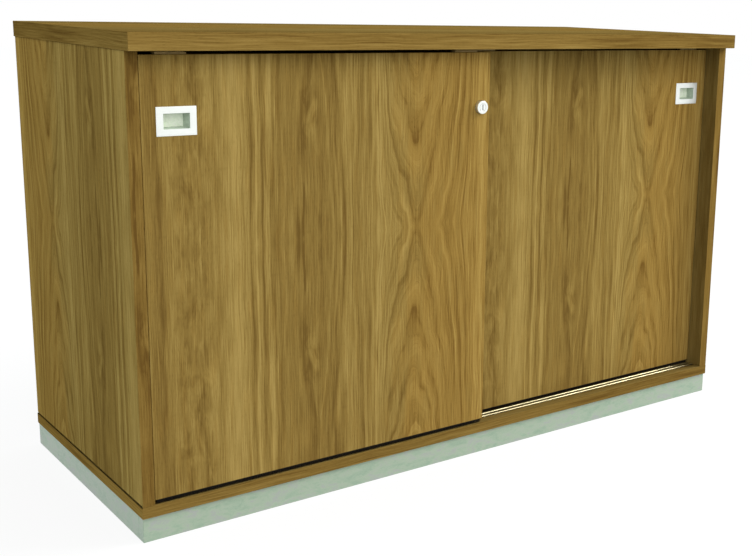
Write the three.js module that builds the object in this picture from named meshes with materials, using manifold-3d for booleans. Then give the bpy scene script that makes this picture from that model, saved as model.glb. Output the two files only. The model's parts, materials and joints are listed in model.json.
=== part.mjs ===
// Sliding door cabinet: a low cupboard with two doors that pass each other on aluminium floor rails.
// Millimetres, +Z up. The origin is on the floor at the middle of the footprint, and the doors face -Y.
// The outer door closes the left half and the inner door the right half, and they overlap in the middle.

import * as THREE from 'three';
import { mergeVertices } from 'three/addons/utils/BufferGeometryUtils.js';
import Module from 'manifold-3d';

const wasm = await Module();
wasm.setup();

// Whole cabinet
const cabinetWidth = 1200;
const cabinetDepth = 500;
const cabinetHeight = 730;

// Boards
const topThickness = 25;
const boardThickness = 18;
const doorThickness = 18;
const shelfThickness = 18;
const backThickness = 8;
const plinthThickness = 18;
const topSideOverhang = 2;
const topFrontOverhang = 20;
const bottomSideProud = 1;

// Shadow line outside each side board, along its foot
const revealHeight = 1.25;
const revealDepth = 2.5;
const revealStop = 1.5;

// Plinth
const plinthHeight = 38;
const plinthSideSetback = 1.5;
const plinthFrontSetback = 4;
const plinthBackSetback = 2;
const blockLeg = 45;
const blockFloorGap = 3;

// Back panel, set into grooves all round
const backInset = 10;
const backGrooveDepth = 6;
const looseFit = 0.25;

// Doors
const doorFrontRecess = 0.5;
const doorSpacing = 15.5;
const doorOverlap = 30;
const doorSideGap = 1;
const doorBottomGap = 7.25;
const doorTopGap = 5.5;

// Floor rails, let into the bottom board and standing a little proud of it
const railWidth = 15;
const railHeight = 6;
const railProud = 1;
const railEndGap = 0.5;
const railTrackDepth = 3;
const railRidges = 2;
const ridgeWidth = 0.75;
const ridgeDepth = 0.5;

// Wheels and their carriers
const wheelRadius = 9;
const wheelWidth = 6;
const wheelRailGap = 0.25;
const wheelHubRadius = 4;
const wheelWebThickness = 3;
const wheelRimThickness = 1.75;
const wheelEdge = 0.75;
const wheelHoles = 5;
const wheelHoleRadius = 1.125;
const wheelSideGap = 0.5;
const axleRadius = 2;
const axleHeadRadius = 3.25;
const axleHeadLength = 1;
const carrierLength = 45;
const carrierHeight = 42;
const carrierPassingGap = 1.5;
const carrierPlate = 4;
const carrierRailGap = 1.5;
const carrierCorner = 6;
const carrierHousingLength = 30;
const carrierHousingRoof = 4;
const carrierWheelRoom = 1;
const carrierScrewSpacing = 27;
const carrierScrewDrop = 10;
const carrierInset = 24;
const screwRadius = 2.25;
const screwHeadRadius = 4;
const screwHeadDepth = 2;

// Top guides and the channel they run in
const guideLength = 45;
const guideInset = 24;
const guideCollarWidth = 10;
const guideCollarHeight = 3;
const guideFinSideGap = 0.5;
const guideFinTopGap = 3.5;
const guideFinCorner = 4;
const guideFinInset = 2.5;
const guideTenonWidth = 8;
const guideTenonDepth = 12;
const guideTenonInset = 0.5;
const channelHeight = 12;
const channelWall = 2;
const channelSlotWidth = 5;

// Flush pulls: a bevelled frame round a drafted finger pocket
const pullWidth = 58.5;
const pullHeight = 40.5;
const pullProud = 1.25;
const pullEdge = 0.5;
const pullBevel = 3;
const pocketWidth = 38.5;
const pocketHeight = 21.5;
const pocketDepth = 13;
const pocketSideDraft = 5;
const pocketEndDraft = 2;
const pocketWall = 1.25;
const pullInset = 21.25;
const outerPullDrop = 90.5;
const innerPullDrop = 84;

// Push lock in the outer door, and the bush in the inner door that faces it
const lockDrop = 89.5;
const lockOverlapShare = 0.6;
const barrelHeadRadius = 11;
const barrelHeadLength = 13;
const barrelProud = 6.5;
const barrelEdge = 0.75;
const barrelBodyRadius = 9;
const barrelReach = 2;
const boltRadius = 4;
const boltLength = 5;
const barrelStroke = 6;
const runningGap = 0.3;
const plugRadius = 6;
const plugLength = 15.5;
const plugRecess = 0.25;
const keywayHeight = 9.5;
const keywayWidth = 1.5;
const keywayDepth = 12;
const housingWidth = 30;
const housingHeight = 44;
const housingDepth = 10;
const housingCorner = 4;
const housingScrewSpacing = 32;
const bushRadius = 6.5;
const bushBoreRadius = 4.75;
const bushLength = 10;
const bushFloor = 1.5;

// Interior
const interiorSetback = 75;
const shelfSetback = 5;
const shelfSideGap = 1;
const shelfBackGap = 1;
const pinRowInset = 50;
const pinHolePitch = 32;
const pinHolesEachWay = 2;
const pinPegRadius = 2.5;
const pinPegLength = 7;
const pinStubRadius = 3.5;
const pinStubLength = 9;
const pinStubEdge = 1;
const pinEndGap = 0.5;

// Cutting tools run this far past the faces that they open
const overrun = 2;

// Facets round a full turn
const smallTurn = 12;
const largeTurn = 24;

// Planes worked out from the sizes above
const floorZ = 0;
const bottomUnderZ = floorZ + plinthHeight;
const bottomTopZ = bottomUnderZ + boardThickness;
const topZ = floorZ + cabinetHeight;
const topUnderZ = topZ - topThickness;
const backY = cabinetDepth / 2;
const topFrontY = -cabinetDepth / 2;
const carcaseFrontY = topFrontY + topFrontOverhang;
const sideOuterX = cabinetWidth / 2 - topSideOverhang;
const sideInnerX = sideOuterX - boardThickness;
const bottomX = sideOuterX + bottomSideProud;
const backPanelBackY = backY - backInset;
const backPanelFrontY = backPanelBackY - backThickness;
const interiorFrontY = carcaseFrontY + interiorSetback;
const doorPitch = doorThickness + doorSpacing;
const outerDoorY = carcaseFrontY + doorFrontRecess;
const innerDoorY = outerDoorY + doorPitch;
const doorBottomZ = bottomTopZ + doorBottomGap;
const doorHeight = topUnderZ - doorTopGap - doorBottomZ;
const doorWidth = sideInnerX - doorSideGap + doorOverlap / 2;
const doorCentreX = sideInnerX - doorSideGap - doorWidth / 2;
const railTopZ = bottomTopZ + railProud;
const railTrackWidth = wheelWidth + 2 * wheelSideGap;
const carrierDepth = doorSpacing - carrierPassingGap;
const lockInset = doorOverlap * lockOverlapShare;
const shelfUnderZ = (bottomTopZ + topUnderZ - shelfThickness) / 2;
const shelfPinZ = shelfUnderZ - looseFit - pinStubRadius;

// Colours and finishes
const finish = (color, roughness, metalness = 0) =>
  new THREE.MeshStandardMaterial({ color, roughness, metalness });
const veneer = finish(0x93783f, 0.55);
const plinthLaminate = finish(0xa8bba8, 0.45, 0.2);
const aluminium = finish(0xc8bd94, 0.4, 0.8);
const blackPlastic = finish(0x141414, 0.6);
const nylon = finish(0xd8d4c4, 0.5);
const brownPlastic = finish(0x524527, 0.55);
const steel = finish(0xb9bcbc, 0.35, 0.9);
const satinWhite = finish(0xf2f4f0, 0.4);

// A closed geometry as a solid, and a solid as a geometry.
function toSolid(geometry) {
  const bare = geometry.clone();
  bare.deleteAttribute('normal');
  bare.deleteAttribute('uv');
  const merged = mergeVertices(bare);
  const vertProperties = merged.getAttribute('position').array;
  const triVerts = new Uint32Array(merged.index.array);
  return new wasm.Manifold(new wasm.Mesh({ numProp: 3, vertProperties, triVerts }));
}

function toGeometry(solid) {
  const mesh = solid.getMesh();
  const geometry = new THREE.BufferGeometry();
  geometry.setAttribute('position', new THREE.BufferAttribute(mesh.vertProperties, 3));
  geometry.setIndex(new THREE.BufferAttribute(mesh.triVerts, 1));
  geometry.computeVertexNormals();
  return geometry;
}

function cut(geometry, tools) {
  return toGeometry(tools.reduce((solid, tool) => solid.subtract(toSolid(tool)), toSolid(geometry)));
}

function join(geometries) {
  return toGeometry(geometries.map(toSolid).reduce((whole, next) => whole.add(next)));
}

// The two ends of a length that is centred on a place.
const about = (middle, length) => [middle - length / 2, middle + length / 2];

// A box between two planes along each axis.
function block([lowX, highX], [lowY, highY], [lowZ, highZ]) {
  const box = new THREE.BoxGeometry(1, 1, 1);
  const corner = box.getAttribute('position');
  for (let i = 0; i < corner.count; i += 1) {
    const x = corner.getX(i) < 0 ? lowX : highX;
    const y = corner.getY(i) < 0 ? lowY : highY;
    const z = corner.getZ(i) < 0 ? lowZ : highZ;
    corner.setXYZ(i, x, y, z);
  }
  return box;
}

// A box along Y whose width and height change from the front end to the back end.
function taper([frontY, endY], frontSize, endSize) {
  const box = new THREE.BoxGeometry(1, 1, 1);
  const corner = box.getAttribute('position');
  for (let i = 0; i < corner.count; i += 1) {
    const atFront = corner.getY(i) < 0;
    const [width, height] = atFront ? frontSize : endSize;
    corner.setXYZ(i, corner.getX(i) * width, atFront ? frontY : endY, corner.getZ(i) * height);
  }
  return box;
}

// A round piece about the Y axis, from points of radius and place along Y, in order of rising Y.
function turned(points, facets) {
  const profile = points.map(([radius, y]) => new THREE.Vector2(radius, y));
  return new THREE.LatheGeometry(profile, facets);
}

// A plain round rod or bore about the Y axis.
function rod(radius, [lowY, highY], facets) {
  return turned([[0, lowY], [radius, lowY], [radius, highY], [0, highY]], facets);
}

// A profile in Y and Z, run along X.
function alongX(points, [lowX, highX]) {
  const shape = new THREE.Shape(points.map(([y, z]) => new THREE.Vector2(y, z)));
  const run = new THREE.ExtrudeGeometry(shape, { depth: highX - lowX, bevelEnabled: false });
  const turn = new THREE.Matrix4().makeBasis(
    new THREE.Vector3(0, 1, 0),
    new THREE.Vector3(0, 0, 1),
    new THREE.Vector3(1, 0, 0),
  );
  return run.applyMatrix4(turn).translate(lowX, 0, 0);
}

// A plate in X and Z with rounded corners, from one Y to another.
function roundedPlate([lowX, highX], [lowZ, highZ], [lowY, highY], topCorner, bottomCorner) {
  const shape = new THREE.Shape();
  const quarter = Math.PI / 2;
  shape.moveTo(lowX + bottomCorner, lowZ);
  shape.lineTo(highX - bottomCorner, lowZ);
  if (bottomCorner > 0) {
    shape.absarc(highX - bottomCorner, lowZ + bottomCorner, bottomCorner, -quarter, 0, false);
  }
  shape.lineTo(highX, highZ - topCorner);
  shape.absarc(highX - topCorner, highZ - topCorner, topCorner, 0, quarter, false);
  shape.lineTo(lowX + topCorner, highZ);
  shape.absarc(lowX + topCorner, highZ - topCorner, topCorner, quarter, 2 * quarter, false);
  shape.lineTo(lowX, lowZ + bottomCorner);
  if (bottomCorner > 0) {
    shape.absarc(lowX + bottomCorner, lowZ + bottomCorner, bottomCorner, 2 * quarter, 3 * quarter, false);
  }
  const curveSegments = smallTurn / 4;
  const plate = new THREE.ExtrudeGeometry(shape, { depth: highY - lowY, bevelEnabled: false, curveSegments });
  return plate.rotateX(quarter).translate(0, highY, 0);
}

// Puts a named piece into a group, moved along X only, so that faces that meet keep the same Y and Z.
function place(group, name, geometry, material, x = 0) {
  const mesh = new THREE.Mesh(geometry, material);
  mesh.name = name;
  mesh.position.x = x;
  group.add(mesh);
}

const cabinet = new THREE.Group();

// Carcase boards

const carcase = new THREE.Group();
cabinet.add(carcase);

// The tool for the groove that the back panel sits in, a little wider than the panel.
function backGroove(spanX, spanZ) {
  return block(spanX, [backPanelFrontY - looseFit, backPanelBackY + looseFit], spanZ);
}

const carcaseSpanY = [carcaseFrontY, backY];
const channelHalf = channelSlotWidth / 2 + channelWall;
const outerGuideY = outerDoorY + doorThickness / 2;
const innerGuideY = innerDoorY + doorThickness / 2;
const channelSpanY = [outerGuideY - channelHalf, innerGuideY + channelHalf];

function topPanel() {
  const board = block([-cabinetWidth / 2, cabinetWidth / 2], [topFrontY, backY], [topUnderZ, topZ]);
  const channelRecess = block(
    [-sideInnerX, sideInnerX],
    [channelSpanY[0] - looseFit, channelSpanY[1] + looseFit],
    [topUnderZ - overrun, topUnderZ + channelHeight],
  );
  const groove = backGroove(
    [-sideInnerX - backGrooveDepth, sideInnerX + backGrooveDepth],
    [topUnderZ - overrun, topUnderZ + backGrooveDepth],
  );
  return cut(board, [channelRecess, groove]);
}

const railSpanY = (doorY) => [doorY + doorThickness, doorY + doorThickness + railWidth];

function bottomPanel() {
  const board = block([-bottomX, bottomX], carcaseSpanY, [bottomUnderZ, bottomTopZ]);
  const railRecesses = [outerDoorY, innerDoorY].map((doorY) => {
    const [frontY, rearY] = railSpanY(doorY);
    return block(
      [-sideInnerX, sideInnerX],
      [frontY - looseFit, rearY + looseFit],
      [railTopZ - railHeight, bottomTopZ + overrun],
    );
  });
  const groove = backGroove(
    [-sideInnerX - backGrooveDepth, sideInnerX + backGrooveDepth],
    [bottomTopZ - backGrooveDepth, bottomTopZ + overrun],
  );
  return cut(board, [...railRecesses, groove]);
}

// Blind holes for the shelf pins, in two rows up a board, drilled into the face at faceX.
const pinRowsY = [interiorFrontY + pinRowInset, backPanelFrontY - pinRowInset];

function pinHoles(faceX, intoBoard) {
  const tools = [];
  const start = faceX - intoBoard * overrun;
  const end = faceX + intoBoard * (pinPegLength + pinEndGap);
  for (const rowY of pinRowsY) {
    for (let step = -pinHolesEachWay; step <= pinHolesEachWay; step += 1) {
      const hole = rod(pinPegRadius + looseFit, [Math.min(start, end), Math.max(start, end)], smallTurn);
      hole.rotateZ(-Math.PI / 2);
      hole.translate(0, rowY, shelfPinZ + step * pinHolePitch);
      tools.push(hole);
    }
  }
  return tools;
}

function sidePanel(side) {
  const faceX = side * sideInnerX;
  const spanX = side < 0 ? [-sideOuterX, faceX] : [faceX, sideOuterX];
  const board = block(spanX, carcaseSpanY, [bottomTopZ, topUnderZ]);
  const grooveEnds = [faceX - side * overrun, faceX + side * backGrooveDepth];
  const grooveSpanX = [Math.min(...grooveEnds), Math.max(...grooveEnds)];
  const groove = backGroove(grooveSpanX, [bottomTopZ - overrun, topUnderZ + overrun]);
  const revealEnds = [side * (sideOuterX - revealDepth), side * (sideOuterX + overrun)];
  const reveal = block(
    [Math.min(...revealEnds), Math.max(...revealEnds)],
    [carcaseFrontY + revealStop, backY + overrun],
    [bottomTopZ - overrun, bottomTopZ + revealHeight],
  );
  return cut(board, [groove, reveal, ...pinHoles(faceX, side)]);
}

const dividerHalf = boardThickness / 2;

function centreDivider() {
  const board = block([-dividerHalf, dividerHalf], [interiorFrontY, backPanelFrontY], [bottomTopZ, topUnderZ]);
  return cut(board, [...pinHoles(-dividerHalf, 1), ...pinHoles(dividerHalf, -1)]);
}

function backPanel() {
  const reachX = sideInnerX + backGrooveDepth - looseFit;
  return block(
    [-reachX, reachX],
    [backPanelFrontY, backPanelBackY],
    [bottomTopZ - backGrooveDepth, topUnderZ + backGrooveDepth - looseFit],
  );
}

place(carcase, 'top_panel', topPanel(), veneer);
place(carcase, 'bottom_panel', bottomPanel(), veneer);
place(carcase, 'left_side', sidePanel(-1), veneer);
place(carcase, 'right_side', sidePanel(1), veneer);
place(carcase, 'back_panel', backPanel(), veneer);
place(carcase, 'centre_divider', centreDivider(), veneer);

// Shelves and the pins that carry them

const shelfX = [dividerHalf + shelfSideGap, sideInnerX - shelfSideGap];
const shelfSpanY = [interiorFrontY + shelfSetback, backPanelFrontY - shelfBackGap];

function shelf(side) {
  const spanX = side < 0 ? [-shelfX[1], -shelfX[0]] : shelfX;
  return block(spanX, shelfSpanY, [shelfUnderZ, shelfUnderZ + shelfThickness]);
}

// A stepped pin whose peg points towards +X or -X, with its shoulder against the board's face.
function shelfPin(pegSide, rowY) {
  const pin = turned(
    [
      [0, -pinStubLength],
      [pinStubRadius - pinStubEdge, -pinStubLength],
      [pinStubRadius, pinStubEdge - pinStubLength],
      [pinStubRadius, 0],
      [pinPegRadius, 0],
      [pinPegRadius, pinPegLength],
      [0, pinPegLength],
    ],
    smallTurn,
  );
  pin.rotateZ(-pegSide * (Math.PI / 2));
  return pin.translate(0, rowY, shelfPinZ);
}

place(carcase, 'left_shelf', shelf(-1), veneer);
place(carcase, 'right_shelf', shelf(1), veneer);
const pinFaces = [
  ['left_shelf_pin_outer', -sideInnerX, -1],
  ['left_shelf_pin_inner', -dividerHalf, 1],
  ['right_shelf_pin_inner', dividerHalf, -1],
  ['right_shelf_pin_outer', sideInnerX, 1],
];
for (const [name, faceX, pegSide] of pinFaces) {
  place(carcase, `${name}_front`, shelfPin(pegSide, pinRowsY[0]), steel, faceX);
  place(carcase, `${name}_rear`, shelfPin(pegSide, pinRowsY[1]), steel, faceX);
}

// Plinth: four boards round the edge and a block in each corner

const plinthX = bottomX - plinthSideSetback;
const plinthFrontY = carcaseFrontY + plinthFrontSetback;
const plinthBackY = backY - plinthBackSetback;
const plinthInnerX = plinthX - plinthThickness;
const plinthInnerY = [plinthFrontY + plinthThickness, plinthBackY - plinthThickness];
const plinthSpanZ = [floorZ, bottomUnderZ];

function plinthBlock(side, end) {
  const spanX = side < 0 ? [-plinthInnerX, blockLeg - plinthInnerX] : [plinthInnerX - blockLeg, plinthInnerX];
  const front = [plinthInnerY[0], plinthInnerY[0] + blockLeg];
  const back = [plinthInnerY[1] - blockLeg, plinthInnerY[1]];
  return block(spanX, end < 0 ? front : back, [floorZ + blockFloorGap, bottomUnderZ]);
}

const plinthFront = block([-plinthX, plinthX], [plinthFrontY, plinthInnerY[0]], plinthSpanZ);
const plinthBack = block([-plinthX, plinthX], [plinthInnerY[1], plinthBackY], plinthSpanZ);
place(carcase, 'plinth_front', plinthFront, plinthLaminate);
place(carcase, 'plinth_back', plinthBack, plinthLaminate);
place(carcase, 'plinth_left', block([-plinthX, -plinthInnerX], plinthInnerY, plinthSpanZ), plinthLaminate);
place(carcase, 'plinth_right', block([plinthInnerX, plinthX], plinthInnerY, plinthSpanZ), plinthLaminate);
place(carcase, 'plinth_block_front_left', plinthBlock(-1, -1), veneer);
place(carcase, 'plinth_block_front_right', plinthBlock(1, -1), veneer);
place(carcase, 'plinth_block_back_left', plinthBlock(-1, 1), veneer);
place(carcase, 'plinth_block_back_right', plinthBlock(1, 1), veneer);

// Floor rails and top channel

// Half of a rail's section, from the edge of its wheel track outwards: lands parted by small grooves.
function railRidgePoints() {
  const land = (railWidth - railTrackWidth) / 2;
  const step = land / (railRidges + 1);
  const points = [];
  for (let i = 1; i <= railRidges; i += 1) {
    const middle = railTrackWidth / 2 + i * step;
    points.push([middle - ridgeWidth / 2, railTopZ]);
    points.push([middle, railTopZ - ridgeDepth]);
    points.push([middle + ridgeWidth / 2, railTopZ]);
  }
  return points;
}

function floorRail(doorY) {
  const middleY = doorY + doorThickness + railWidth / 2;
  const trackZ = railTopZ - railTrackDepth;
  const half = [
    [railTrackWidth / 2, trackZ],
    [railTrackWidth / 2, railTopZ],
    ...railRidgePoints(),
    [railWidth / 2, railTopZ],
    [railWidth / 2, railTopZ - railHeight],
  ];
  const rear = half.map(([y, z]) => [middleY + y, z]);
  const front = half.map(([y, z]) => [middleY - y, z]).reverse();
  const reachX = sideInnerX - railEndGap;
  return alongX([...front, ...rear], [-reachX, reachX]);
}

// Two slots that open downwards, joined by a web along the top.
function topChannel() {
  const slotTopZ = topUnderZ + channelHeight - channelWall;
  const slotHalf = channelSlotWidth / 2;
  const points = [
    [channelSpanY[0], topUnderZ + channelHeight],
    [channelSpanY[0], topUnderZ],
    [outerGuideY - slotHalf, topUnderZ],
    [outerGuideY - slotHalf, slotTopZ],
    [outerGuideY + slotHalf, slotTopZ],
    [outerGuideY + slotHalf, topUnderZ],
    [outerGuideY + channelHalf, topUnderZ],
    [outerGuideY + channelHalf, slotTopZ],
    [innerGuideY - channelHalf, slotTopZ],
    [innerGuideY - channelHalf, topUnderZ],
    [innerGuideY - slotHalf, topUnderZ],
    [innerGuideY - slotHalf, slotTopZ],
    [innerGuideY + slotHalf, slotTopZ],
    [innerGuideY + slotHalf, topUnderZ],
    [channelSpanY[1], topUnderZ],
    [channelSpanY[1], topUnderZ + channelHeight],
  ];
  const reachX = sideInnerX - railEndGap;
  return alongX(points, [-reachX, reachX]);
}

place(carcase, 'outer_floor_rail', floorRail(outerDoorY), aluminium);
place(carcase, 'inner_floor_rail', floorRail(innerDoorY), aluminium);
place(carcase, 'top_channel', topChannel(), blackPlastic);

// Doors. Each door's own frame has X = 0 at its middle, Y = 0 at its front face and Z = 0 at its foot.

const wheelY = doorThickness + railWidth / 2;
const wheelZ = railTopZ - railTrackDepth + wheelRailGap + wheelRadius - doorBottomZ;
const guideY = doorThickness / 2;
const carrierX = doorWidth / 2 - carrierInset - carrierLength / 2;
const guideX = doorWidth / 2 - guideInset - guideLength / 2;
const carrierBottomZ = railTopZ + carrierRailGap - doorBottomZ;
const carrierBackY = doorThickness + carrierDepth;

// The pull's place in its door, and the recess that takes its pocket.
const pullX = doorWidth / 2 - pullInset - pullWidth / 2;
const pocketFloorY = pocketDepth - pullProud;

function pullRecess(x, z) {
  const width = pocketWidth + 2 * (pocketWall + looseFit);
  const height = pocketHeight + 2 * (pocketWall + looseFit);
  return block(about(x, width), [-overrun, pocketFloorY + pocketWall + looseFit], about(z, height));
}

function flushPull(z) {
  const bevelled = [pullWidth - 2 * pullBevel, pullHeight - 2 * pullBevel];
  const edge = block(about(0, pullWidth), [-pullEdge, 0], about(0, pullHeight));
  const bevel = taper([-pullProud, -pullEdge], bevelled, [pullWidth, pullHeight]);
  const mouth = [pocketWidth, pocketHeight];
  const floor = [pocketWidth - 2 * pocketSideDraft, pocketHeight - 2 * pocketEndDraft];
  const thicker = (size) => size.map((length) => length + 2 * pocketWall);
  const cup = taper([-pullEdge, pocketFloorY + pocketWall], thicker(mouth), thicker(floor));
  const pocket = taper([-pullProud, pocketFloorY], mouth, floor);
  const mouthCut = block(about(0, pocketWidth), [-pullProud - overrun, -pullProud], about(0, pocketHeight));
  return cut(join([edge, bevel, cup]), [join([pocket, mouthCut])]).translate(0, 0, z);
}

function guideMortise(x) {
  const length = guideLength - 2 * guideTenonInset + 2 * looseFit;
  const width = guideTenonWidth + 2 * looseFit;
  const floor = doorHeight - guideTenonDepth - looseFit;
  return block(about(x, length), about(guideY, width), [floor, doorHeight + overrun]);
}

// A tenon in the door's top edge, a collar on it, and a fin that runs in the channel's slot.
function topGuide() {
  const collarTopZ = doorHeight + guideCollarHeight;
  const finTopZ = doorHeight + doorTopGap + channelHeight - channelWall - guideFinTopGap;
  const tenon = block(
    about(0, guideLength - 2 * guideTenonInset),
    about(guideY, guideTenonWidth),
    [doorHeight - guideTenonDepth, doorHeight],
  );
  const collar = block(about(0, guideLength), about(guideY, guideCollarWidth), [doorHeight, collarTopZ]);
  const fin = roundedPlate(
    about(0, guideLength - 2 * guideFinInset),
    [collarTopZ, finTopZ],
    about(guideY, channelSlotWidth - 2 * guideFinSideGap),
    guideFinCorner,
    0,
  );
  return join([tenon, collar, fin]);
}

// A screwed plate with a housing round the wheel that is open below.
function wheelCarrier() {
  const plate = roundedPlate(
    about(0, carrierLength),
    [carrierBottomZ, carrierBottomZ + carrierHeight],
    [doorThickness, doorThickness + carrierPlate],
    carrierCorner,
    0,
  );
  const pocketRadius = wheelRadius + carrierWheelRoom;
  const housing = roundedPlate(
    about(0, carrierHousingLength),
    [carrierBottomZ, wheelZ + pocketRadius + carrierHousingRoof],
    [doorThickness, carrierBackY],
    carrierCorner,
    0,
  );
  const pocketSpanY = about(wheelY, wheelWidth + 2 * wheelSideGap);
  const pocketRoof = rod(pocketRadius, pocketSpanY, largeTurn).translate(0, 0, wheelZ);
  const pocketBelow = block(about(0, 2 * pocketRadius), pocketSpanY, [carrierBottomZ - overrun, wheelZ]);
  const axleBore = rod(axleRadius + looseFit, [doorThickness - overrun, carrierBackY + overrun], smallTurn);
  const headSeatY = carrierBackY - axleHeadLength - looseFit;
  const headBore = rod(axleHeadRadius + looseFit, [headSeatY, carrierBackY + overrun], smallTurn);
  const bores = [axleBore, headBore].map((bore) => bore.translate(0, 0, wheelZ));
  const screwZ = carrierBottomZ + carrierHeight - carrierScrewDrop;
  const screwHoles = [-carrierScrewSpacing / 2, carrierScrewSpacing / 2].map((x) =>
    countersunkHole(doorThickness, doorThickness + carrierPlate).translate(x, 0, screwZ),
  );
  return cut(join([plate, housing]), [pocketRoof, pocketBelow, ...bores, ...screwHoles]);
}

// A screw hole along Y, countersunk at its rear end.
function countersunkHole(frontY, rearY) {
  return turned(
    [
      [0, frontY - overrun],
      [screwRadius, frontY - overrun],
      [screwRadius, rearY - screwHeadDepth],
      [screwHeadRadius, rearY],
      [screwHeadRadius, rearY + overrun],
      [0, rearY + overrun],
    ],
    smallTurn,
  );
}

function wheelAxle() {
  const pinEndY = doorThickness + looseFit;
  const axle = turned(
    [
      [0, pinEndY],
      [axleRadius, pinEndY],
      [axleRadius, carrierBackY - axleHeadLength],
      [axleHeadRadius, carrierBackY - axleHeadLength],
      [axleHeadRadius, carrierBackY],
      [0, carrierBackY],
    ],
    smallTurn,
  );
  return axle.translate(0, 0, wheelZ);
}

// A hub, a thin web with lightening holes, and a rim with eased edges.
function wheel() {
  const half = wheelWidth / 2;
  const webHalf = wheelWebThickness / 2;
  const rimInner = wheelRadius - wheelRimThickness;
  const boreRadius = axleRadius + looseFit;
  const tyre = turned(
    [
      [boreRadius, -half],
      [wheelHubRadius, -half],
      [wheelHubRadius, -webHalf],
      [rimInner, -webHalf],
      [rimInner, -half],
      [wheelRadius - wheelEdge, -half],
      [wheelRadius, wheelEdge - half],
      [wheelRadius, half - wheelEdge],
      [wheelRadius - wheelEdge, half],
      [rimInner, half],
      [rimInner, webHalf],
      [wheelHubRadius, webHalf],
      [wheelHubRadius, half],
      [boreRadius, half],
      [boreRadius, -half],
    ],
    largeTurn,
  );
  const holeCircle = (wheelHubRadius + rimInner) / 2;
  const holes = [];
  for (let i = 0; i < wheelHoles; i += 1) {
    const turn = (i * 2 * Math.PI) / wheelHoles;
    const hole = rod(wheelHoleRadius, [-webHalf - overrun, webHalf + overrun], smallTurn / 2);
    holes.push(hole.translate(holeCircle * Math.cos(turn), 0, holeCircle * Math.sin(turn)));
  }
  return cut(tyre, holes).translate(0, wheelY, wheelZ);
}

// Everything that both doors have. The pull side is -1 for the left edge and 1 for the right edge.
function makeDoor(name, middleX, frontY, pullSide, pullDrop, extraBores) {
  const door = new THREE.Group();
  door.position.set(middleX, frontY, doorBottomZ);
  const pullZ = doorHeight - pullDrop;
  const panel = block(about(0, doorWidth), [0, doorThickness], [0, doorHeight]);
  const recesses = [pullRecess(pullSide * pullX, pullZ), guideMortise(-guideX), guideMortise(guideX)];
  place(door, `${name}_door_panel`, cut(panel, [...recesses, ...extraBores]), veneer);
  place(door, `${name}_pull`, flushPull(pullZ), satinWhite, pullSide * pullX);
  for (const [end, side] of [['left', -1], ['right', 1]]) {
    place(door, `${name}_${end}_top_guide`, topGuide(), brownPlastic, side * guideX);
    place(door, `${name}_${end}_wheel_carrier`, wheelCarrier(), blackPlastic, side * carrierX);
    place(door, `${name}_${end}_wheel_axle`, wheelAxle(), steel, side * carrierX);
    place(door, `${name}_${end}_wheel`, wheel(), nylon, side * carrierX);
  }
  cabinet.add(door);
  return door;
}

// Lock. The barrel slides along Y in a bore through the outer door and in a housing behind it.

const lockX = doorWidth / 2 - lockInset;
const lockZ = doorHeight - lockDrop;
const barrelFrontY = -barrelProud;
const barrelStepY = barrelFrontY + barrelHeadLength;
const barrelEndY = doorThickness + barrelReach;
const housingBackY = doorThickness + housingDepth;

// The bore through the door: wide for the barrel's head as far as its stroke, then narrow.
function lockBore() {
  const headSeatY = barrelStepY + barrelStroke + looseFit;
  const bore = turned(
    [
      [0, -overrun],
      [barrelHeadRadius + runningGap, -overrun],
      [barrelHeadRadius + runningGap, headSeatY],
      [barrelBodyRadius + runningGap, headSeatY],
      [barrelBodyRadius + runningGap, doorThickness + overrun],
      [0, doorThickness + overrun],
    ],
    largeTurn,
  );
  return bore.translate(lockX, 0, lockZ);
}

function lockHousing() {
  const plate = roundedPlate(
    about(0, housingWidth),
    about(0, housingHeight),
    [doorThickness, housingBackY],
    housingCorner,
    housingCorner,
  );
  const bodySeatY = barrelEndY + barrelStroke + looseFit;
  const bore = turned(
    [
      [0, doorThickness - overrun],
      [barrelBodyRadius + runningGap, doorThickness - overrun],
      [barrelBodyRadius + runningGap, bodySeatY],
      [boltRadius + runningGap, bodySeatY],
      [boltRadius + runningGap, housingBackY + overrun],
      [0, housingBackY + overrun],
    ],
    largeTurn,
  );
  const screwHoles = [-housingScrewSpacing / 2, housingScrewSpacing / 2].map((z) =>
    countersunkHole(doorThickness, housingBackY).translate(0, 0, z),
  );
  return cut(plate, [bore, ...screwHoles]).translate(0, 0, lockZ);
}

// The head that is pushed, the body that the housing guides, and the bolt on its end.
function lockBarrel() {
  const barrel = turned(
    [
      [0, barrelFrontY],
      [barrelHeadRadius - barrelEdge, barrelFrontY],
      [barrelHeadRadius, barrelFrontY + barrelEdge],
      [barrelHeadRadius, barrelStepY],
      [barrelBodyRadius, barrelStepY],
      [barrelBodyRadius, barrelEndY],
      [boltRadius, barrelEndY],
      [boltRadius, barrelEndY + boltLength],
      [0, barrelEndY + boltLength],
    ],
    largeTurn,
  );
  const plugEndY = barrelFrontY + plugRecess + plugLength;
  const plugBore = rod(plugRadius + runningGap, [barrelFrontY - overrun, plugEndY + looseFit], largeTurn);
  return cut(barrel, [plugBore]).translate(0, 0, lockZ);
}

function keyPlug() {
  const frontY = barrelFrontY + plugRecess;
  const plug = rod(plugRadius, [frontY, frontY + plugLength], largeTurn);
  const keyway = block(about(0, keywayWidth), [frontY - overrun, frontY + keywayDepth], about(0, keywayHeight));
  return cut(plug, [keyway]).translate(0, 0, lockZ);
}

const outerDoor = makeDoor('outer', -doorCentreX, outerDoorY, -1, outerPullDrop, [lockBore()]);
place(outerDoor, 'lock_housing', lockHousing(), blackPlastic, lockX);
place(outerDoor, 'lock_barrel', lockBarrel(), satinWhite, lockX);
place(outerDoor, 'key_plug', keyPlug(), steel, lockX);

// The bush in the inner door that the bolt points at: a sleeve with a closed end, flush with the door.

const bushX = lockX - 2 * doorCentreX;

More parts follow.
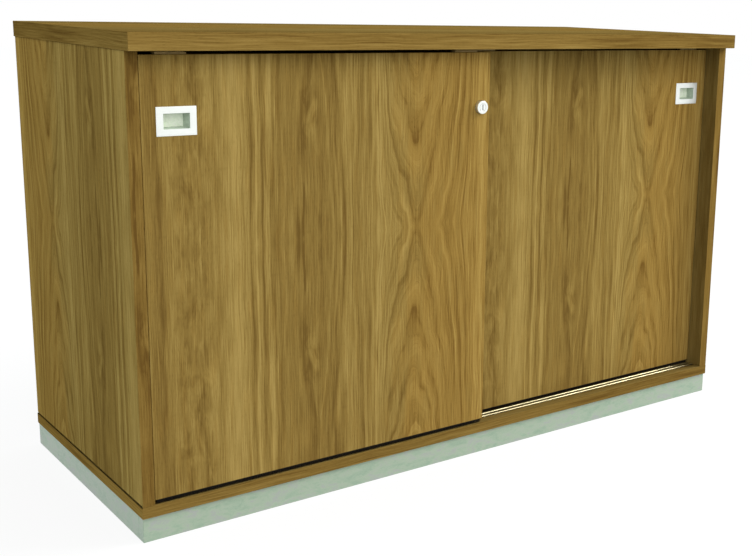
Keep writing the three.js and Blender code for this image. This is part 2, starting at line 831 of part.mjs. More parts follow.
function bushBore() {
  const bore = rod(bushRadius + looseFit, [-overrun, bushLength + looseFit], smallTurn);
  return bore.translate(bushX, 0, lockZ);
}

function strikeBush() {
  const bush = turned(
    [
      [0, bushLength - bushFloor],
      [bushBoreRadius, bushLength - bushFloor],
      [bushBoreRadius, 0],
      [bushRadius, 0],
      [bushRadius, bushLength],
      [0, bushLength],
    ],
    smallTurn,
  );
  return bush.translate(0, 0, lockZ);
}

const innerDoor = makeDoor('inner', doorCentreX, innerDoorY, 1, innerPullDrop, [bushBore()]);
place(innerDoor, 'strike_bush', strikeBush(), steel, bushX);

export default cabinet;
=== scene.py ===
# %% [markdown]
# A sliding door cabinet, dressed
#
# The cabinet is an office sideboard of veneered boards. Two doors slide in front of each other on
# small wheels. The pieces, sizes and joints arrive as a imported model, and this lesson gives each
# of them its finish: walnut veneer with one large figure, a pale plinth, satin aluminium,
# moulded plastic and light castings. A real board never has a knife edge, so the boards are
# copied and their edges are eased. Small things that the imported model leaves out are added:
# screws, cover caps, black dust brushes that paint the shade under the doors, and black beads
# that paint the shadow in front of the rails. Some finishes also carry painted light and shade.

# %% Load the imported model
import json
import math

import bmesh
import bpy
from mathutils import Matrix, Vector


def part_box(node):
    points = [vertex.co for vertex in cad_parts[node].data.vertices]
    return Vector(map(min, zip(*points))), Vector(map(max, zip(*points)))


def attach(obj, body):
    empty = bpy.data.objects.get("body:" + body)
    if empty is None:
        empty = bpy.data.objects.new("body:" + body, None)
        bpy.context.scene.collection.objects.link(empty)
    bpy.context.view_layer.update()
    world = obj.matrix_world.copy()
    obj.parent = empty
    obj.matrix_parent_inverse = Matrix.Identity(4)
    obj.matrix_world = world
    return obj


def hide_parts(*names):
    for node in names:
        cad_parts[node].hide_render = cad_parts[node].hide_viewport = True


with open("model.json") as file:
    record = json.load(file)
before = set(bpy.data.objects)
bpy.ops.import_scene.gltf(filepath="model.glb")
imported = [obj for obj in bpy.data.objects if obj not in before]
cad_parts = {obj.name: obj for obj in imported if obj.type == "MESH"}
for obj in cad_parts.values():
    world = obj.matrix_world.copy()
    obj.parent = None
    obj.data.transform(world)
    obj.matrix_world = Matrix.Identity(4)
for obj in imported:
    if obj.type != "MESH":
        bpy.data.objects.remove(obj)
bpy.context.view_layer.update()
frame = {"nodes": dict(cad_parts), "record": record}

MM = 0.001
record = frame["record"]
body_of_node = {
    node: body for body, nodes in record["behaviour"]["bodies"].items() for node in nodes
}
slot_of_node = {row["node"]: row["material_slot"] for row in record["subparts"]}

# %% [markdown]
# The camera
#
# A photograph fixes four things: where the camera stood, where it pointed, how long its lens was
# and which part of the picture was kept. They were found by matching the cabinet's corners. The
# place and the three angles set the camera's matrix. The picture's middle isn't the point that
# the lens aims at, so the lens also gets a small shift, as on an architect's camera.

# %% Place the camera
PHOTO_WIDTH = 752
PHOTO_HEIGHT = 556
FOCAL_PIXELS = 1153.08
AIM_PIXEL = Vector((508.02, 248.21))
SENSOR_WIDTH = 36.0
CAMERA_PLACE = Vector((-1.16684, -1.74926, 0.78043))
CAMERA_TURN = math.radians(-38.9873)
CAMERA_DIP = math.radians(12.0269)
CAMERA_ROLL = math.radians(1.5592)


def aimed_matrix(place, turn, dip, roll):
    """The matrix of a camera that looks along a turned and dipped line and is then rolled."""
    level = math.cos(dip)
    forward = Vector((-math.sin(turn) * level, math.cos(turn) * level, -math.sin(dip)))
    right = Vector((math.cos(turn), math.sin(turn), 0.0))
    up = right.cross(forward)
    rolled_right = right * math.cos(roll) + up * math.sin(roll)
    rolled_up = up * math.cos(roll) - right * math.sin(roll)
    turned = Matrix((rolled_right, rolled_up, -forward)).transposed().to_4x4()
    return Matrix.Translation(place) @ turned


camera_data = bpy.data.cameras.new("photo_camera")
camera_data.sensor_width = SENSOR_WIDTH
camera_data.lens = SENSOR_WIDTH * FOCAL_PIXELS / PHOTO_WIDTH
camera_data.shift_x = (PHOTO_WIDTH / 2 - AIM_PIXEL.x) / PHOTO_WIDTH
camera_data.shift_y = (AIM_PIXEL.y - PHOTO_HEIGHT / 2) / PHOTO_WIDTH
camera = bpy.data.objects.new("photo_camera", camera_data)
camera.matrix_world = aimed_matrix(CAMERA_PLACE, CAMERA_TURN, CAMERA_DIP, CAMERA_ROLL)
bpy.context.scene.collection.objects.link(camera)
bpy.context.scene.camera = camera
bpy.context.scene.view_settings.view_transform = "Standard"
print("lens:", round(camera_data.lens, 2), "mm")

# %% [markdown]
# A short way to wire nodes
#
# Every finish here is a small network of maths. Blender adds a node, sets its mode and links its
# sockets in separate steps, which soon hides the idea. This helper does the three steps in one
# call, so that a finish reads as a recipe. Where such a recipe is long, its helper is called w.


# %% Add and feed nodes
class Nodes:
    """Adds nodes to one tree. A value is a number, a colour or another node's socket."""

    def __init__(self, tree):
        self.tree = tree

    def feed(self, socket, value):
        if isinstance(value, bpy.types.NodeSocket):
            self.tree.links.new(value, socket)
        else:
            socket.default_value = value

    def node(self, kind, **settings):
        made = self.tree.nodes.new(kind)
        for name, value in settings.items():
            setattr(made, name, value)
        return made

    def fed(self, kind, *values, **settings):
        """Adds a node, feeds its inputs in their order and returns its first output."""
        made = self.node(kind, **settings)
        for socket, value in zip(made.inputs, values):
            self.feed(socket, value)
        return made.outputs[0]

    def fill(self, made, *values):
        """Feeds a node's inputs by their labels and returns its first output."""
        for label, value in values:
            self.feed(made.inputs[label], value)
        return made.outputs[0]


# %% [markdown]
# Sums, ramps and noise
#
# A finish needs only a handful of kinds of node: sums, a ramp that turns a number into a colour,
# and noise, which is where all that is uneven comes from. Each gets a name as short as a word in
# a recipe.


# %% Name the maths of a finish
class Wiring(Nodes):
    """The few kinds of node that the finishes are made of."""

    def math(self, operation, *values, clamp=False):
        return self.fed("ShaderNodeMath", *values, operation=operation, use_clamp=clamp)

    def vector_math(self, operation, first, second):
        return self.fed("ShaderNodeVectorMath", first, second, operation=operation)

    def vector(self, x, y=0.0, z=0.0):
        return self.fed("ShaderNodeCombineXYZ", x, y, z)

    def split(self, vector):
        """The node that takes a vector apart, with its outputs X, Y and Z."""
        made = self.node("ShaderNodeSeparateXYZ")
        self.feed(made.inputs[0], vector)
        return made.outputs

    def span(self, value, low, high, first, last, kind="LINEAR"):
        """Maps low to high onto first to last, and holds the ends."""
        return self.fed("ShaderNodeMapRange", value, low, high, first, last, interpolation_type=kind)

    def noise(self, vector, detail=0.0, roughness=0.5, distortion=0.0):
        return self.fill(self.node("ShaderNodeTexNoise"), ("Vector", vector), ("Scale", 1.0),
                         ("Detail", detail), ("Roughness", roughness), ("Distortion", distortion))

    def swing(self, noise, size):
        """Noise, which lies round 0.5, as a push of up to about half the size either way."""
        return self.times(self.minus(noise, 0.5), size)

    def add(self, *values):
        total = values[0]
        for value in values[1:]:
            total = self.math("ADD", total, value)
        return total

    def times(self, first, second):
        return self.math("MULTIPLY", first, second)

    def minus(self, first, second):
        return self.math("SUBTRACT", first, second)

    def mix(self, share, first, second):
        """Mixes two numbers, whose sockets are the third and fourth of the node."""
        made = self.node("ShaderNodeMix", data_type="FLOAT")
        for index, value in ((0, share), (2, first), (3, second)):
            self.feed(made.inputs[index], value)
        return made.outputs[0]

    def blend(self, share, first, second, kind="MIX"):
        """Blends two colours, whose sockets are the seventh and eighth of the node."""
        made = self.node("ShaderNodeMix", data_type="RGBA", blend_type=kind)
        for index, value in ((0, share), (6, first), (7, second)):
            self.feed(made.inputs[index], value)
        return made.outputs[2]

    def grey(self, level):
        return self.fed("ShaderNodeCombineColor", level, level, level)

    def ramp(self, value, stops, kind="EASE"):
        made = self.node("ShaderNodeValToRGB")
        made.color_ramp.interpolation = kind
        points = made.color_ramp.elements
        while len(points) < len(stops):
            points.new(1.0)
        for point, (place, colour) in zip(points, stops):
            point.position = place
            point.color = colour
        self.feed(made.inputs[0], value)
        return made.outputs[0]


# %% [markdown]
# Colours
#
# A photograph is judged by how a screen shows it, with values from 0 to 255, but a shader counts
# in linear light. So colours are written as seen, and one function turns them into linear ones.

# %% Write colours as a screen shows them
GAMMA = 2.4
DARK_LIMIT = 0.04045
DARK_SLOPE = 12.92
GAMMA_OFFSET = 0.055


def linear(channel):
    """One channel of a screen's colour, from 0 to 1, as linear light."""
    if channel < DARK_LIMIT:
        return channel / DARK_SLOPE
    return ((channel + GAMMA_OFFSET) / (1 + GAMMA_OFFSET)) ** GAMMA


def screen(red, green, blue):
    return (*[linear(value / 255) for value in (red, green, blue)], 1.0)


print("a screen's middle grey is", round(linear(0.5), 3), "in linear light")

# %% [markdown]
# The studio
#
# The photograph shows the cabinet on pure white, lit like the inside of a white tent: the left
# side gets two thirds of the light that falls on the doors, and under the overhanging top it
# fades within a hand's width. A world that is brightest half-way up and towards the front right,
# and dim straight above, gives both. Its dim side is slightly cooler. One large soft lamp stands
# far off to the right and high, for the edges that face there. The floor shows white to the
# camera and keeps a faint shadow, while the light that it throws back up is that of a mid grey,
# because a white one would wash the fade away.

# %% Light the tent
WHITE = (1.0, 1.0, 1.0, 1.0)
WORLD_BASE = 0.63
WORLD_RISE = 2.1
# From where the tent dims towards straight above, and what is left there.
ZENITH_SPAN = (0.66, 0.84)
ZENITH_SHARE = 0.3
BRIGHT_SIDE = Vector((0.61, -0.79))
SIDE_SWING = 0.27
DIM_SPAN = (-0.5, 0.4)
DIM_SIDE_TINT = (0.92, 1.03, 1.06, 1.0)


def seen_directly(w):
    """One where a ray comes from the camera, or was reflected or let through by a surface."""
    path = w.node("ShaderNodeLightPath").outputs
    sharp = w.math("MAXIMUM", path["Is Camera Ray"], path["Is Glossy Ray"])
    return w.math("MAXIMUM", sharp, path["Is Transmission Ray"])


def white_tent():
    """A world that looks white and lights the cabinet mostly from its bright side."""
    world = bpy.data.worlds.new("white_tent")
    world.use_nodes = True
    w = Wiring(world.node_tree)
    towards = w.split(w.node("ShaderNodeTexCoord").outputs["Generated"])
    upward = w.math("MAXIMUM", towards["Z"], 0.0)
    brightwards = w.add(w.times(towards["X"], BRIGHT_SIDE.x), w.times(towards["Y"], BRIGHT_SIDE.y))
    side_level = w.add(WORLD_BASE, w.times(brightwards, WORLD_BASE * SIDE_SWING))
    rise = w.add(1.0, w.times(upward, WORLD_RISE))
    zenith = w.span(upward, *ZENITH_SPAN, 1.0, ZENITH_SHARE, "SMOOTHSTEP")
    tent_light = w.times(w.times(side_level, rise), zenith)
    direct = seen_directly(w)
    dim_side = w.times(w.span(brightwards, *DIM_SPAN, 1.0, 0.0), w.minus(1.0, direct))
    w.fill(world.node_tree.nodes["Background"], ("Color", w.blend(dim_side, WHITE, DIM_SIDE_TINT)),
           ("Strength", w.mix(direct, tent_light, 1.0)))
    return world


bpy.context.scene.world = white_tent()
print("world:", bpy.context.scene.world.name)

# %% Hang the lamp
LAMP_PLACE = (5.5, -2.6, 4.8)
LAMP_WIDTH = 3.0
LAMP_WATTS = 350.0
CABINET_MIDDLE = (0.0, 0.0, 0.4)

lamp_data = bpy.data.lights.new("front_right_softbox", "AREA")
lamp_data.shape = "SQUARE"
lamp_data.size = LAMP_WIDTH
lamp_data.energy = LAMP_WATTS
lamp = bpy.data.objects.new("front_right_softbox", lamp_data)
lamp_aim = (Vector(CABINET_MIDDLE) - Vector(LAMP_PLACE)).to_track_quat("-Z", "Y")
lamp.matrix_world = Matrix.Translation(LAMP_PLACE) @ lamp_aim.to_matrix().to_4x4()
bpy.context.scene.collection.objects.link(lamp)
print("lamp:", LAMP_WATTS, "watts, at", LAMP_PLACE)

# %% Lay the floor
FLOOR_SIZE = 30.0
FLOOR_BOUNCE = 0.42
FLOOR_WHITE_SHARE = 0.88


def made_object(name, mesh, *materials):
    """A new object in the scene that shows a mesh."""
    made = bpy.data.objects.new(name, mesh)
    for material in materials:
        mesh.materials.append(material)
    bpy.context.scene.collection.objects.link(made)
    return made


def floor_finish():
    """Nearly white where it is seen, and mid grey for the light that it throws back."""
    material = bpy.data.materials.new("studio_floor")
    material.use_nodes = True
    material.node_tree.nodes.clear()
    w = Wiring(material.node_tree)
    direct = seen_directly(w)
    bounce = w.fed("ShaderNodeBsdfDiffuse", w.mix(direct, FLOOR_BOUNCE, 1.0))
    glow = w.node("ShaderNodeEmission").outputs[0]
    shown = w.fed("ShaderNodeMixShader", w.times(direct, FLOOR_WHITE_SHARE), bounce, glow)
    w.feed(w.node("ShaderNodeOutputMaterial").inputs["Surface"], shown)
    return material


floor_mesh = bpy.data.meshes.new("studio_floor")
half_floor = FLOOR_SIZE / 2
floor_signs = ((-1, -1), (1, -1), (1, 1), (-1, 1))
floor_corners = [(x * half_floor, y * half_floor, 0.0) for x, y in floor_signs]
floor_mesh.from_pydata(floor_corners, [], [(0, 1, 2, 3)])
floor = made_object("studio_floor", floor_mesh, floor_finish())
print("floor:", FLOOR_SIZE, "metres wide")

# %% [markdown]
# The veneer's figure
#
# Walnut veneer is sliced from a log, so its lines are growth rings cut at a slant. Where the
# knife meets the log's crown, the rings close into nested V shapes, called cathedrals, and away
# from it they run as nearly straight streaks. On this cabinet the sheet is also mirrored end to
# end, a little above the middle of the doors. A picture of wood would fix all that at one size.
# Here the rings are worked out instead. The streaks beside the crown are listed once, in
# millimetres across the sheet, each with its lightness, where 0.5 is the veneer's usual tone.
# The numbers were typed with the photographed door's average lightness across its width as a
# guide, and many were then changed one by one.

# %% List the streaks of the sheet
SHEET_WIDTH = 600.0
USUAL_TONE = 0.5
LEFT_STREAKS = (
    (0, 0.48), (12, 0.4), (20, 0.16), (27, 0.5), (36, 0.6), (50, 0.44), (80, 0.4),
    (98, 0.56), (105, 0.44), (116, 0.74), (132, 0.76), (146, 0.6), (149, 0.36), (153, 0.6),
    (161, 0.26), (168, 0.88), (178, 0.3), (188, 0.82), (200, 0.26), (208, 0.5), (228, 0.36),
    (240, 0.14), (247, 0.42), (290, 0.36), (298, 0.66), (303, 0.44), (315, 0.3), (324, 0.76),
    (334, 0.5), (346, 0.34), (354, 0.5),
)
NEAR_CROWN_STREAKS = (
    (354, 0.5), (358, 0.4), (366, 0.6), (371, 0.5), (379, 0.95), (386, 0.62), (391, 0.84),
    (399, 0.48), (410, 0.62), (420, 0.68), (426, 0.44), (430, 0.56), (436, 0.9), (441, 0.72),
    (445, 0.38), (448, 0.18), (452, 0.44),
)
RIGHT_STREAKS = (
    (446, 0.44), (450, 0.18), (454, 0.4), (461, 0.68), (474, 0.5), (488, 0.4), (496, 0.8),
    (503, 0.46), (517, 0.22), (523, 0.44), (528, 0.78), (534, 0.44), (541, 0.3), (547, 0.76),
    (553, 0.5), (562, 0.7), (572, 0.62), (583, 0.84), (592, 0.5), (600, 0.56),
)
# How busy the lines between the streaks are, across the sheet.
LINE_ACTIVITY = (
    (0, 0.6), (34, 0.5), (46, 0.15), (92, 0.25), (112, 0.5), (144, 0.75), (160, 1.0),
    (200, 1.0), (208, 0.28), (290, 0.28), (302, 0.9), (330, 1.0), (395, 0.9), (410, 0.45),
    (470, 0.4), (500, 0.8), (560, 1.0), (600, 0.7),
)
# Broad bands that are lighter or darker than the rest, where 0.5 changes nothing. They are rounded
# from how much lighter or darker than the figure without them the photographed door is.
BROAD_BANDS = (
    (0, 0.46), (48, 0.44), (75, 0.52), (108, 0.6), (128, 0.68), (168, 0.68), (186, 0.5), (202, 0.42),
    (300, 0.42), (330, 0.47), (362, 0.56), (400, 0.58), (430, 0.5), (600, 0.52),
)
# Inside the V shapes the places count from the outermost ring towards the middle.
CROWN_RING_REACH = 200.0
CROWN_RINGS = (
    (0, 0.16), (3, 0.4), (10, 0.62), (20, 0.66), (31, 0.5), (37, 0.4), (42, 0.0), (46, 0.12),
    (51, 0.6), (60, 0.56), (66, 0.3), (69, 0.12), (74, 0.62), (88, 0.6), (94, 0.24), (97, 0.1),
    (103, 0.6), (118, 0.4), (124, 0.16), (131, 0.6), (152, 0.3), (160, 0.6), (200, 0.5),
)


def tone_ramp(w, share, places, reach):
    """A grey ramp with a stop at each place, where the reach is its far end."""
    return w.ramp(share, [(place / reach, (tone, tone, tone, 1.0)) for place, tone in places])


print("streaks:", len(LEFT_STREAKS + NEAR_CROWN_STREAKS + RIGHT_STREAKS), "rings:", len(CROWN_RINGS))

# %% [markdown]
# Rings as level lines
#
# The grain's lines are level lines of a height field. Near the crown's axis the height is the
# distance to the axis less a share of the distance to the mirror line, which draws crossing V
# shapes, and elsewhere it is the distance across the sheet alone. Noise that is long along the
# grain and narrow across it makes the lines wander. Beside the crown some streaks draw together
# into a long lens, which needs only a squeeze of the distance across.

# %% Draw the crown and the lens
MIRROR_LINE = 277.0
MIRROR_REPEAT = 640.0
CROWN_AXIS = 449.0
CROWN_SOFTNESS = 6.0
CROWN_SLOPE = 0.32
# How far from its axis the crown bends the lines: fully up to the first number, then less.
LEFT_HOLD = (48.0, 78.0)
RIGHT_HOLD = (16.0, 150.0)
# The rings are jagged. Each jag has a width, a length, a seed and a size, and all fade outwards.
SLOW_JAG = (34.0, 58.0, 5.0, 26.0)
QUICK_JAG = (7.0, 13.0, 5.0, 4.5)
JAG_FADE = (30.0, 85.0, 1.0, 0.12)
LENS_AXIS = 268.0
LENS_HALF_WIDTH = 28.0
LENS_HALF_LENGTH = 290.0
LENS_NECK = 3.0
LENS_REACH = 70.0


def patch_noise(w, across, along, width, length, seed, detail=1.0, roughness=0.5, distortion=0.0):
    """Noise in patches of a width across the grain and a length along it, in millimetres."""
    spot = w.vector(w.times(across, 1 / width), w.times(along, 1 / length), seed)
    return w.noise(spot, detail, roughness, distortion)


def patches(w, across, along, width, length, seed, size, detail=1.0):
    """The same noise as a push of up to about half the size either way."""
    return w.swing(patch_noise(w, across, along, width, length, seed, detail), size)


def crown_field(w, line, away):
    """The crown's rings: how far outside the outermost V a point is, and how far inside."""
    offset = w.minus(line, CROWN_AXIS)
    reach = w.math("SQRT", w.add(w.times(offset, offset), CROWN_SOFTNESS**2))
    left_hold = w.span(reach, *LEFT_HOLD, 1.0, 0.0, "SMOOTHSTEP")
    right_hold = w.span(reach, *RIGHT_HOLD, 1.0, 0.0, "SMOOTHSTEP")
    right_side = w.math("GREATER_THAN", offset, 0.0)
    fall = w.times(w.times(away, CROWN_SLOPE), w.mix(right_side, left_hold, right_hold))
    jag = w.add(patches(w, line, away, *SLOW_JAG), patches(w, line, away, *QUICK_JAG))
    ring = w.add(w.minus(reach, fall), w.times(jag, w.span(reach, *JAG_FADE, "SMOOTHSTEP")))
    outside = w.math("MAXIMUM", ring, 0.0)
    inside = w.math("MAXIMUM", w.times(ring, -1.0), 0.0)
    return outside, inside, w.math("SIGN", offset), right_side


def lens_line(w, line, away):
    """Draws the streaks together into a long lens that closes towards both ends of the sheet."""
    offset = w.minus(line, LENS_AXIS)
    distance = w.math("ABSOLUTE", offset)
    along = w.math("MINIMUM", w.times(away, 1 / LENS_HALF_LENGTH), 1.0)
    narrowing = w.times(w.times(along, along), LENS_HALF_WIDTH - LENS_NECK)
    half = w.minus(LENS_HALF_WIDTH, narrowing)
    within = w.span(distance, 0.0, half, 0.0, LENS_HALF_WIDTH)
    beside = w.span(distance, half, LENS_REACH, 0.0, LENS_REACH - LENS_HALF_WIDTH)
    beyond = w.math("MAXIMUM", w.minus(distance, LENS_REACH), 0.0)
    return w.add(LENS_AXIS, w.times(w.math("SIGN", offset), w.add(within, beside, beyond)))


print("crown at", CROWN_AXIS, "and lens at", LENS_AXIS, "of", SHEET_WIDTH, "mm")

# %% [markdown]
# From lines to tones
#
# A place on the sheet is first turned into a place on the lines. The lists above give its main
# tone. Inside the crown the rings fade in and out in patches, as they do where the knife grazes
# them.

# %% Find the main tone
WANDER = (75.0, 210.0, 3.0, 11.0)
WAVES = (50.0, 110.0, 9.0, 14.0)
WAVES_DETAIL = 0.6
# The waves belong to the right of the sheet: from where to where they grow, and how much.
WAVES_GROWTH = (440.0, 500.0, 0.15, 1.0)
RING_START = (0.0, 3.0)
RING_PATCHES = (22.0, 38.0, 15.0)
RING_FADE = (0.35, 0.6, 0.35, 1.0)


def sheet_lines(w, across, along):
    """The place across the sheet, the distance to the mirror line, and the wandering line."""
    away = w.math("PINGPONG", w.minus(along, MIRROR_LINE), MIRROR_REPEAT)
    place = w.math("WRAP", across, SHEET_WIDTH, 0.0)
    growth = w.span(place, *WAVES_GROWTH, "SMOOTHSTEP")
    waves = w.times(patches(w, place, away, *WAVES, WAVES_DETAIL), growth)
    return place, away, w.add(place, patches(w, place, away, *WANDER), waves)


def main_tone(w, line, away, straight, inside, right_side):
    """The tone of the listed streaks, or of the rings where a place is inside the crown."""
    share = w.times(straight, 1 / SHEET_WIDTH)
    beside_crown = w.math("GREATER_THAN", straight, NEAR_CROWN_STREAKS[0][0])
    far, near_crown, right = (
        tone_ramp(w, share, streaks, SHEET_WIDTH)
        for streaks in (LEFT_STREAKS, NEAR_CROWN_STREAKS, RIGHT_STREAKS)
    )
    outer_tone = w.mix(right_side, w.mix(beside_crown, far, near_crown), right)
    ring_share = w.times(inside, 1 / CROWN_RING_REACH)
    ring_tone = tone_ramp(w, ring_share, CROWN_RINGS, CROWN_RING_REACH)
    ring_fade = w.span(patch_noise(w, line, away, *RING_PATCHES), *RING_FADE)
    faded_ring = w.add(USUAL_TONE, w.times(w.minus(ring_tone, USUAL_TONE), ring_fade))
    return w.mix(w.span(inside, *RING_START, 0.0, 1.0), outer_tone, faded_ring)


print("rings begin", RING_START[1], "mm inside the crown")

# %% [markdown]
# Finer lines, curls, veins and pores
#
# Between the streaks lie finer lines, some spots are curly, a thin dark vein crosses the sheet's
# middle, and short dark pores lie everywhere along the grain. Lines that belong to the rings take
# their noise from the place on the rings, so that they turn with the V shapes, while fibres take
# it from the sheet itself.

# %% Make the finer marks
# Each spot has a centre, a core with the full effect, a reach where it ends, and a size.
CURL_BESIDE_EDGE = (68.0, 14.0, 42.0, 1.0)
CURL_IN_LENS = (262.0, 14.0, 34.0, 0.35)
FEATHERS = ((256.0, 4.0, 20.0, 1.2), (184.0, 16.0, 66.0, 1.0))
DARK_VEINS = (
    ((244.0, 0.7, 2.7, -0.8), (44.0, 22.0, 48.0, 1.0)),
    ((236.0, 0.4, 3.0, -0.4), (4.0, 10.0, 34.0, 1.0)),
)
# Width, length, seed, detail, roughness and distortion of the curly blotches, and their tones.
CURL_NOISE = (15.0, 52.0, 51.0, 2.5, 0.55, 1.2)
CURL_TONES = (0.3, 0.64, -0.28, 0.14)
PORES = (0.42, 7.5, 0.0)
PORE_SPAN = (0.6, 0.74)


def near(w, value, centre, core, reach, size):
    """The full size within the core round a centre, fading to nothing at the reach."""
    distance = w.math("ABSOLUTE", w.minus(value, centre))
    return w.span(distance, core, reach, size, 0.0, "SMOOTHSTEP")


def spot(w, across, along, spot_across, spot_along):
    """A spot that ends both across the grain and along it."""
    return w.times(near(w, across, *spot_across), near(w, along, *spot_along))


def grain(w, straight, inside, along, width, length, seed, detail=1.0):
    """Noise that follows the streaks and the rings."""
    place = w.vector(w.times(straight, 1 / width), w.times(inside, 1 / width),
                     w.add(w.times(along, 1 / length), seed))
    return w.noise(place, detail)


def fibres(w, line, away, width, length, seed, size):
    """A push that runs along the sheet and leaves the rings alone."""
    place = w.vector(w.times(line, 1 / width), seed, w.times(away, 1 / length))
    return w.swing(w.noise(place, detail=1.0), size)


def curly_wood(w, place, line, away, straight):
    """Short, soft blotches near the left edge, and feathers in the lens."""
    home = w.add(near(w, place, *CURL_BESIDE_EDGE), near(w, straight, *CURL_IN_LENS),
                 spot(w, line, away, *FEATHERS))
    return w.times(w.span(patch_noise(w, line, away, *CURL_NOISE), *CURL_TONES), home)


def veneer_pores(w, straight, inside, along):
    """Short dark dashes along the grain, as a share from none to all."""
    return w.span(grain(w, straight, inside, along, *PORES, detail=0.0), *PORE_SPAN, 0.0, 1.0)


print("dark veins:", len(DARK_VEINS))

# %% [markdown]
# From tones to colours
#
# The photographed veneer is greenish brown on the left of each sheet and warmer round the crown.
# The tone therefore picks its colour from two ramps, and a ragged border and small spots decide
# between them.

# %% Colour the veneer
TONE_STOPS = (0.0, 0.25, 0.5, 0.75, 1.0)
COOL_BROWNS = ((113, 88, 42), (131, 105, 52), (146, 120, 62), (160, 134, 73), (174, 147, 83))
WARM_BROWNS = ((118, 88, 40), (138, 107, 50), (153, 122, 60), (165, 133, 68), (180, 149, 80))
WARM_BORDER = (395.0, 470.0)
BORDER_RAGS = (30.0, 120.0, 61.0, 90.0)
WARM_SPOTS = (9.0, 70.0, 71.0, 1.3)


def brown_ramp(w, tone, browns):
    stops = [(place, screen(*brown)) for place, brown in zip(TONE_STOPS, browns)]
    return w.ramp(tone, stops, "LINEAR")


def veneer_colour(w, tone, line, away, least_warmth):
    """The colour of a tone, which is warmer beyond the border and in the warm spots."""
    border = w.add(line, patches(w, line, away, *BORDER_RAGS, detail=0.0))
    warm_side = w.span(border, *WARM_BORDER, 0.0, 1.0, "SMOOTHSTEP")
    spotted = w.add(warm_side, patches(w, line, away, *WARM_SPOTS))
    warmth = w.math("MAXIMUM", spotted, least_warmth, clamp=True)
    return w.blend(warmth, brown_ramp(w, tone, COOL_BROWNS), brown_ramp(w, tone, WARM_BROWNS))


print("usual brown:", COOL_BROWNS[2], "and warm:", WARM_BROWNS[2])

# %% [markdown]
# All of it in one group
#
# A node group works like a function: every board asks it for its own part of the sheet. The
# layers below are added up to one tone. Streaks of veneer fade in and out along the grain, so
# the main tone is first weakened by a noise that is very long and narrow.

# %% Make the node group of the figure
# Width and length in millimetres and seed, and for the lines and fibres the size as well.
STREAK_FADE = (11.0, 120.0, 11.0)
BROAD_LINES = (17.0, 330.0, 21.0, 0.45)
RING_LINES = (5.5, 300.0, 31.0, 1.15)
MIDDLE_LINES = (2.2, 160.0, 35.0, 0.85)
BROAD_FIBRES = (70.0, 230.0, 25.0, 0.3)
FINE_FIBRES = (1.3, 60.0, 41.0, 1.15)
FADE_SPAN = (0.32, 0.62, 0.05, 1.15)
PORE_DARKNESS = 0.16
VENEER_ROUGHNESS = 0.44
FIBRE_ROUGHNESS = 0.12
PORE_ROUGHNESS = 0.2
LINE_RELIEF = 0.25


def walnut_figure():
    """A node group that turns a place on the sheet, in millimetres, into colour and relief."""
    tree = bpy.data.node_groups.new("walnut_figure", "ShaderNodeTree")
    for name in ("Across", "Along", "Warmth", "Tone and painted light"):
        tree.interface.new_socket(name, in_out="INPUT", socket_type="NodeSocketFloat")
    for name, kind in (("Colour", "Color"), ("Relief", "Float"), ("Roughness", "Float")):
        tree.interface.new_socket(name, in_out="OUTPUT", socket_type="NodeSocket" + kind)
    w = Wiring(tree)
    given = w.node("NodeGroupInput").outputs

    place, away, line = sheet_lines(w, given["Across"], given["Along"])
    outside, inside, side, right_side = crown_field(w, line, away)
    straight = lens_line(w, w.add(CROWN_AXIS, w.times(side, outside)), away)
    share = w.times(straight, 1 / SHEET_WIDTH)

    def lines(width, length, seed, size):
        return w.swing(grain(w, straight, inside, away, width, length, seed), size)

    set_tone = main_tone(w, line, away, straight, inside, right_side)
    fade = w.span(grain(w, straight, inside, away, *STREAK_FADE), *FADE_SPAN)
    strong = w.add(USUAL_TONE, w.times(w.minus(set_tone, USUAL_TONE), fade))
    bands = w.minus(tone_ramp(w, share, BROAD_BANDS, SHEET_WIDTH), USUAL_TONE)
    broad = w.add(lines(*BROAD_LINES), fibres(w, line, away, *BROAD_FIBRES))
    activity = tone_ramp(w, share, LINE_ACTIVITY, SHEET_WIDTH)
    ring_lines = w.times(lines(*RING_LINES), activity)
    middle = w.times(lines(*MIDDLE_LINES), activity)
    fine = fibres(w, line, away, *FINE_FIBRES)
    curl = curly_wood(w, place, line, away, straight)
    veins = w.add(*[spot(w, straight, away, *vein) for vein in DARK_VEINS])
    pores = veneer_pores(w, straight, inside, given["Along"])
    tone = w.add(strong, bands, broad, ring_lines, middle, fine, curl, veins)
    tone = w.minus(tone, w.times(pores, PORE_DARKNESS))

    sheet_colour = veneer_colour(w, tone, line, away, given["Warmth"])
    # The colour is multiplied by a factor for each board. On its sheet this is painted light and shade,
    # and on its bands it is partly their own tone and partly painted shade.
    colour_with_painted_light = w.blend(1.0, sheet_colour, w.grey(given["Tone and painted light"]), "MULTIPLY")
    roughness = w.add(VENEER_ROUGHNESS, w.times(fine, FIBRE_ROUGHNESS), w.times(pores, PORE_ROUGHNESS))
    out = w.node("NodeGroupOutput").inputs
    w.feed(out["Colour"], colour_with_painted_light)
    w.feed(out["Relief"], w.minus(w.times(middle, LINE_RELIEF), pores))
    w.feed(out["Roughness"], roughness)
    return tree


FIGURE = walnut_figure()
print("figure group:", len(FIGURE.nodes), "nodes")

# %% [markdown]
# One finish for each face of a board
#
# The boards are cut from the same sheet, each at its own place. The grain of the doors and the
# sides runs upright, and that of the top, the bottom and the shelves runs from side to side. The
# narrow edges are covered by bands, whose grain always follows the edge. A board therefore has
# three materials: one for its faces, one for the bands along its grain and one for those across
# its ends. All ask the same figure group, only with other axes. The photographed veneer shows
# no gloss, so its shader gets none.

# %% Make the veneer material
VENEER_RELIEF = 0.00012
VENEER_GLOSS = 0.0


def new_material(name):
    """A new material, the wiring of its nodes and its surface shader."""
    material = bpy.data.materials.new(name)
    material.use_nodes = True
    return material, Wiring(material.node_tree), material.node_tree.nodes["Principled BSDF"]


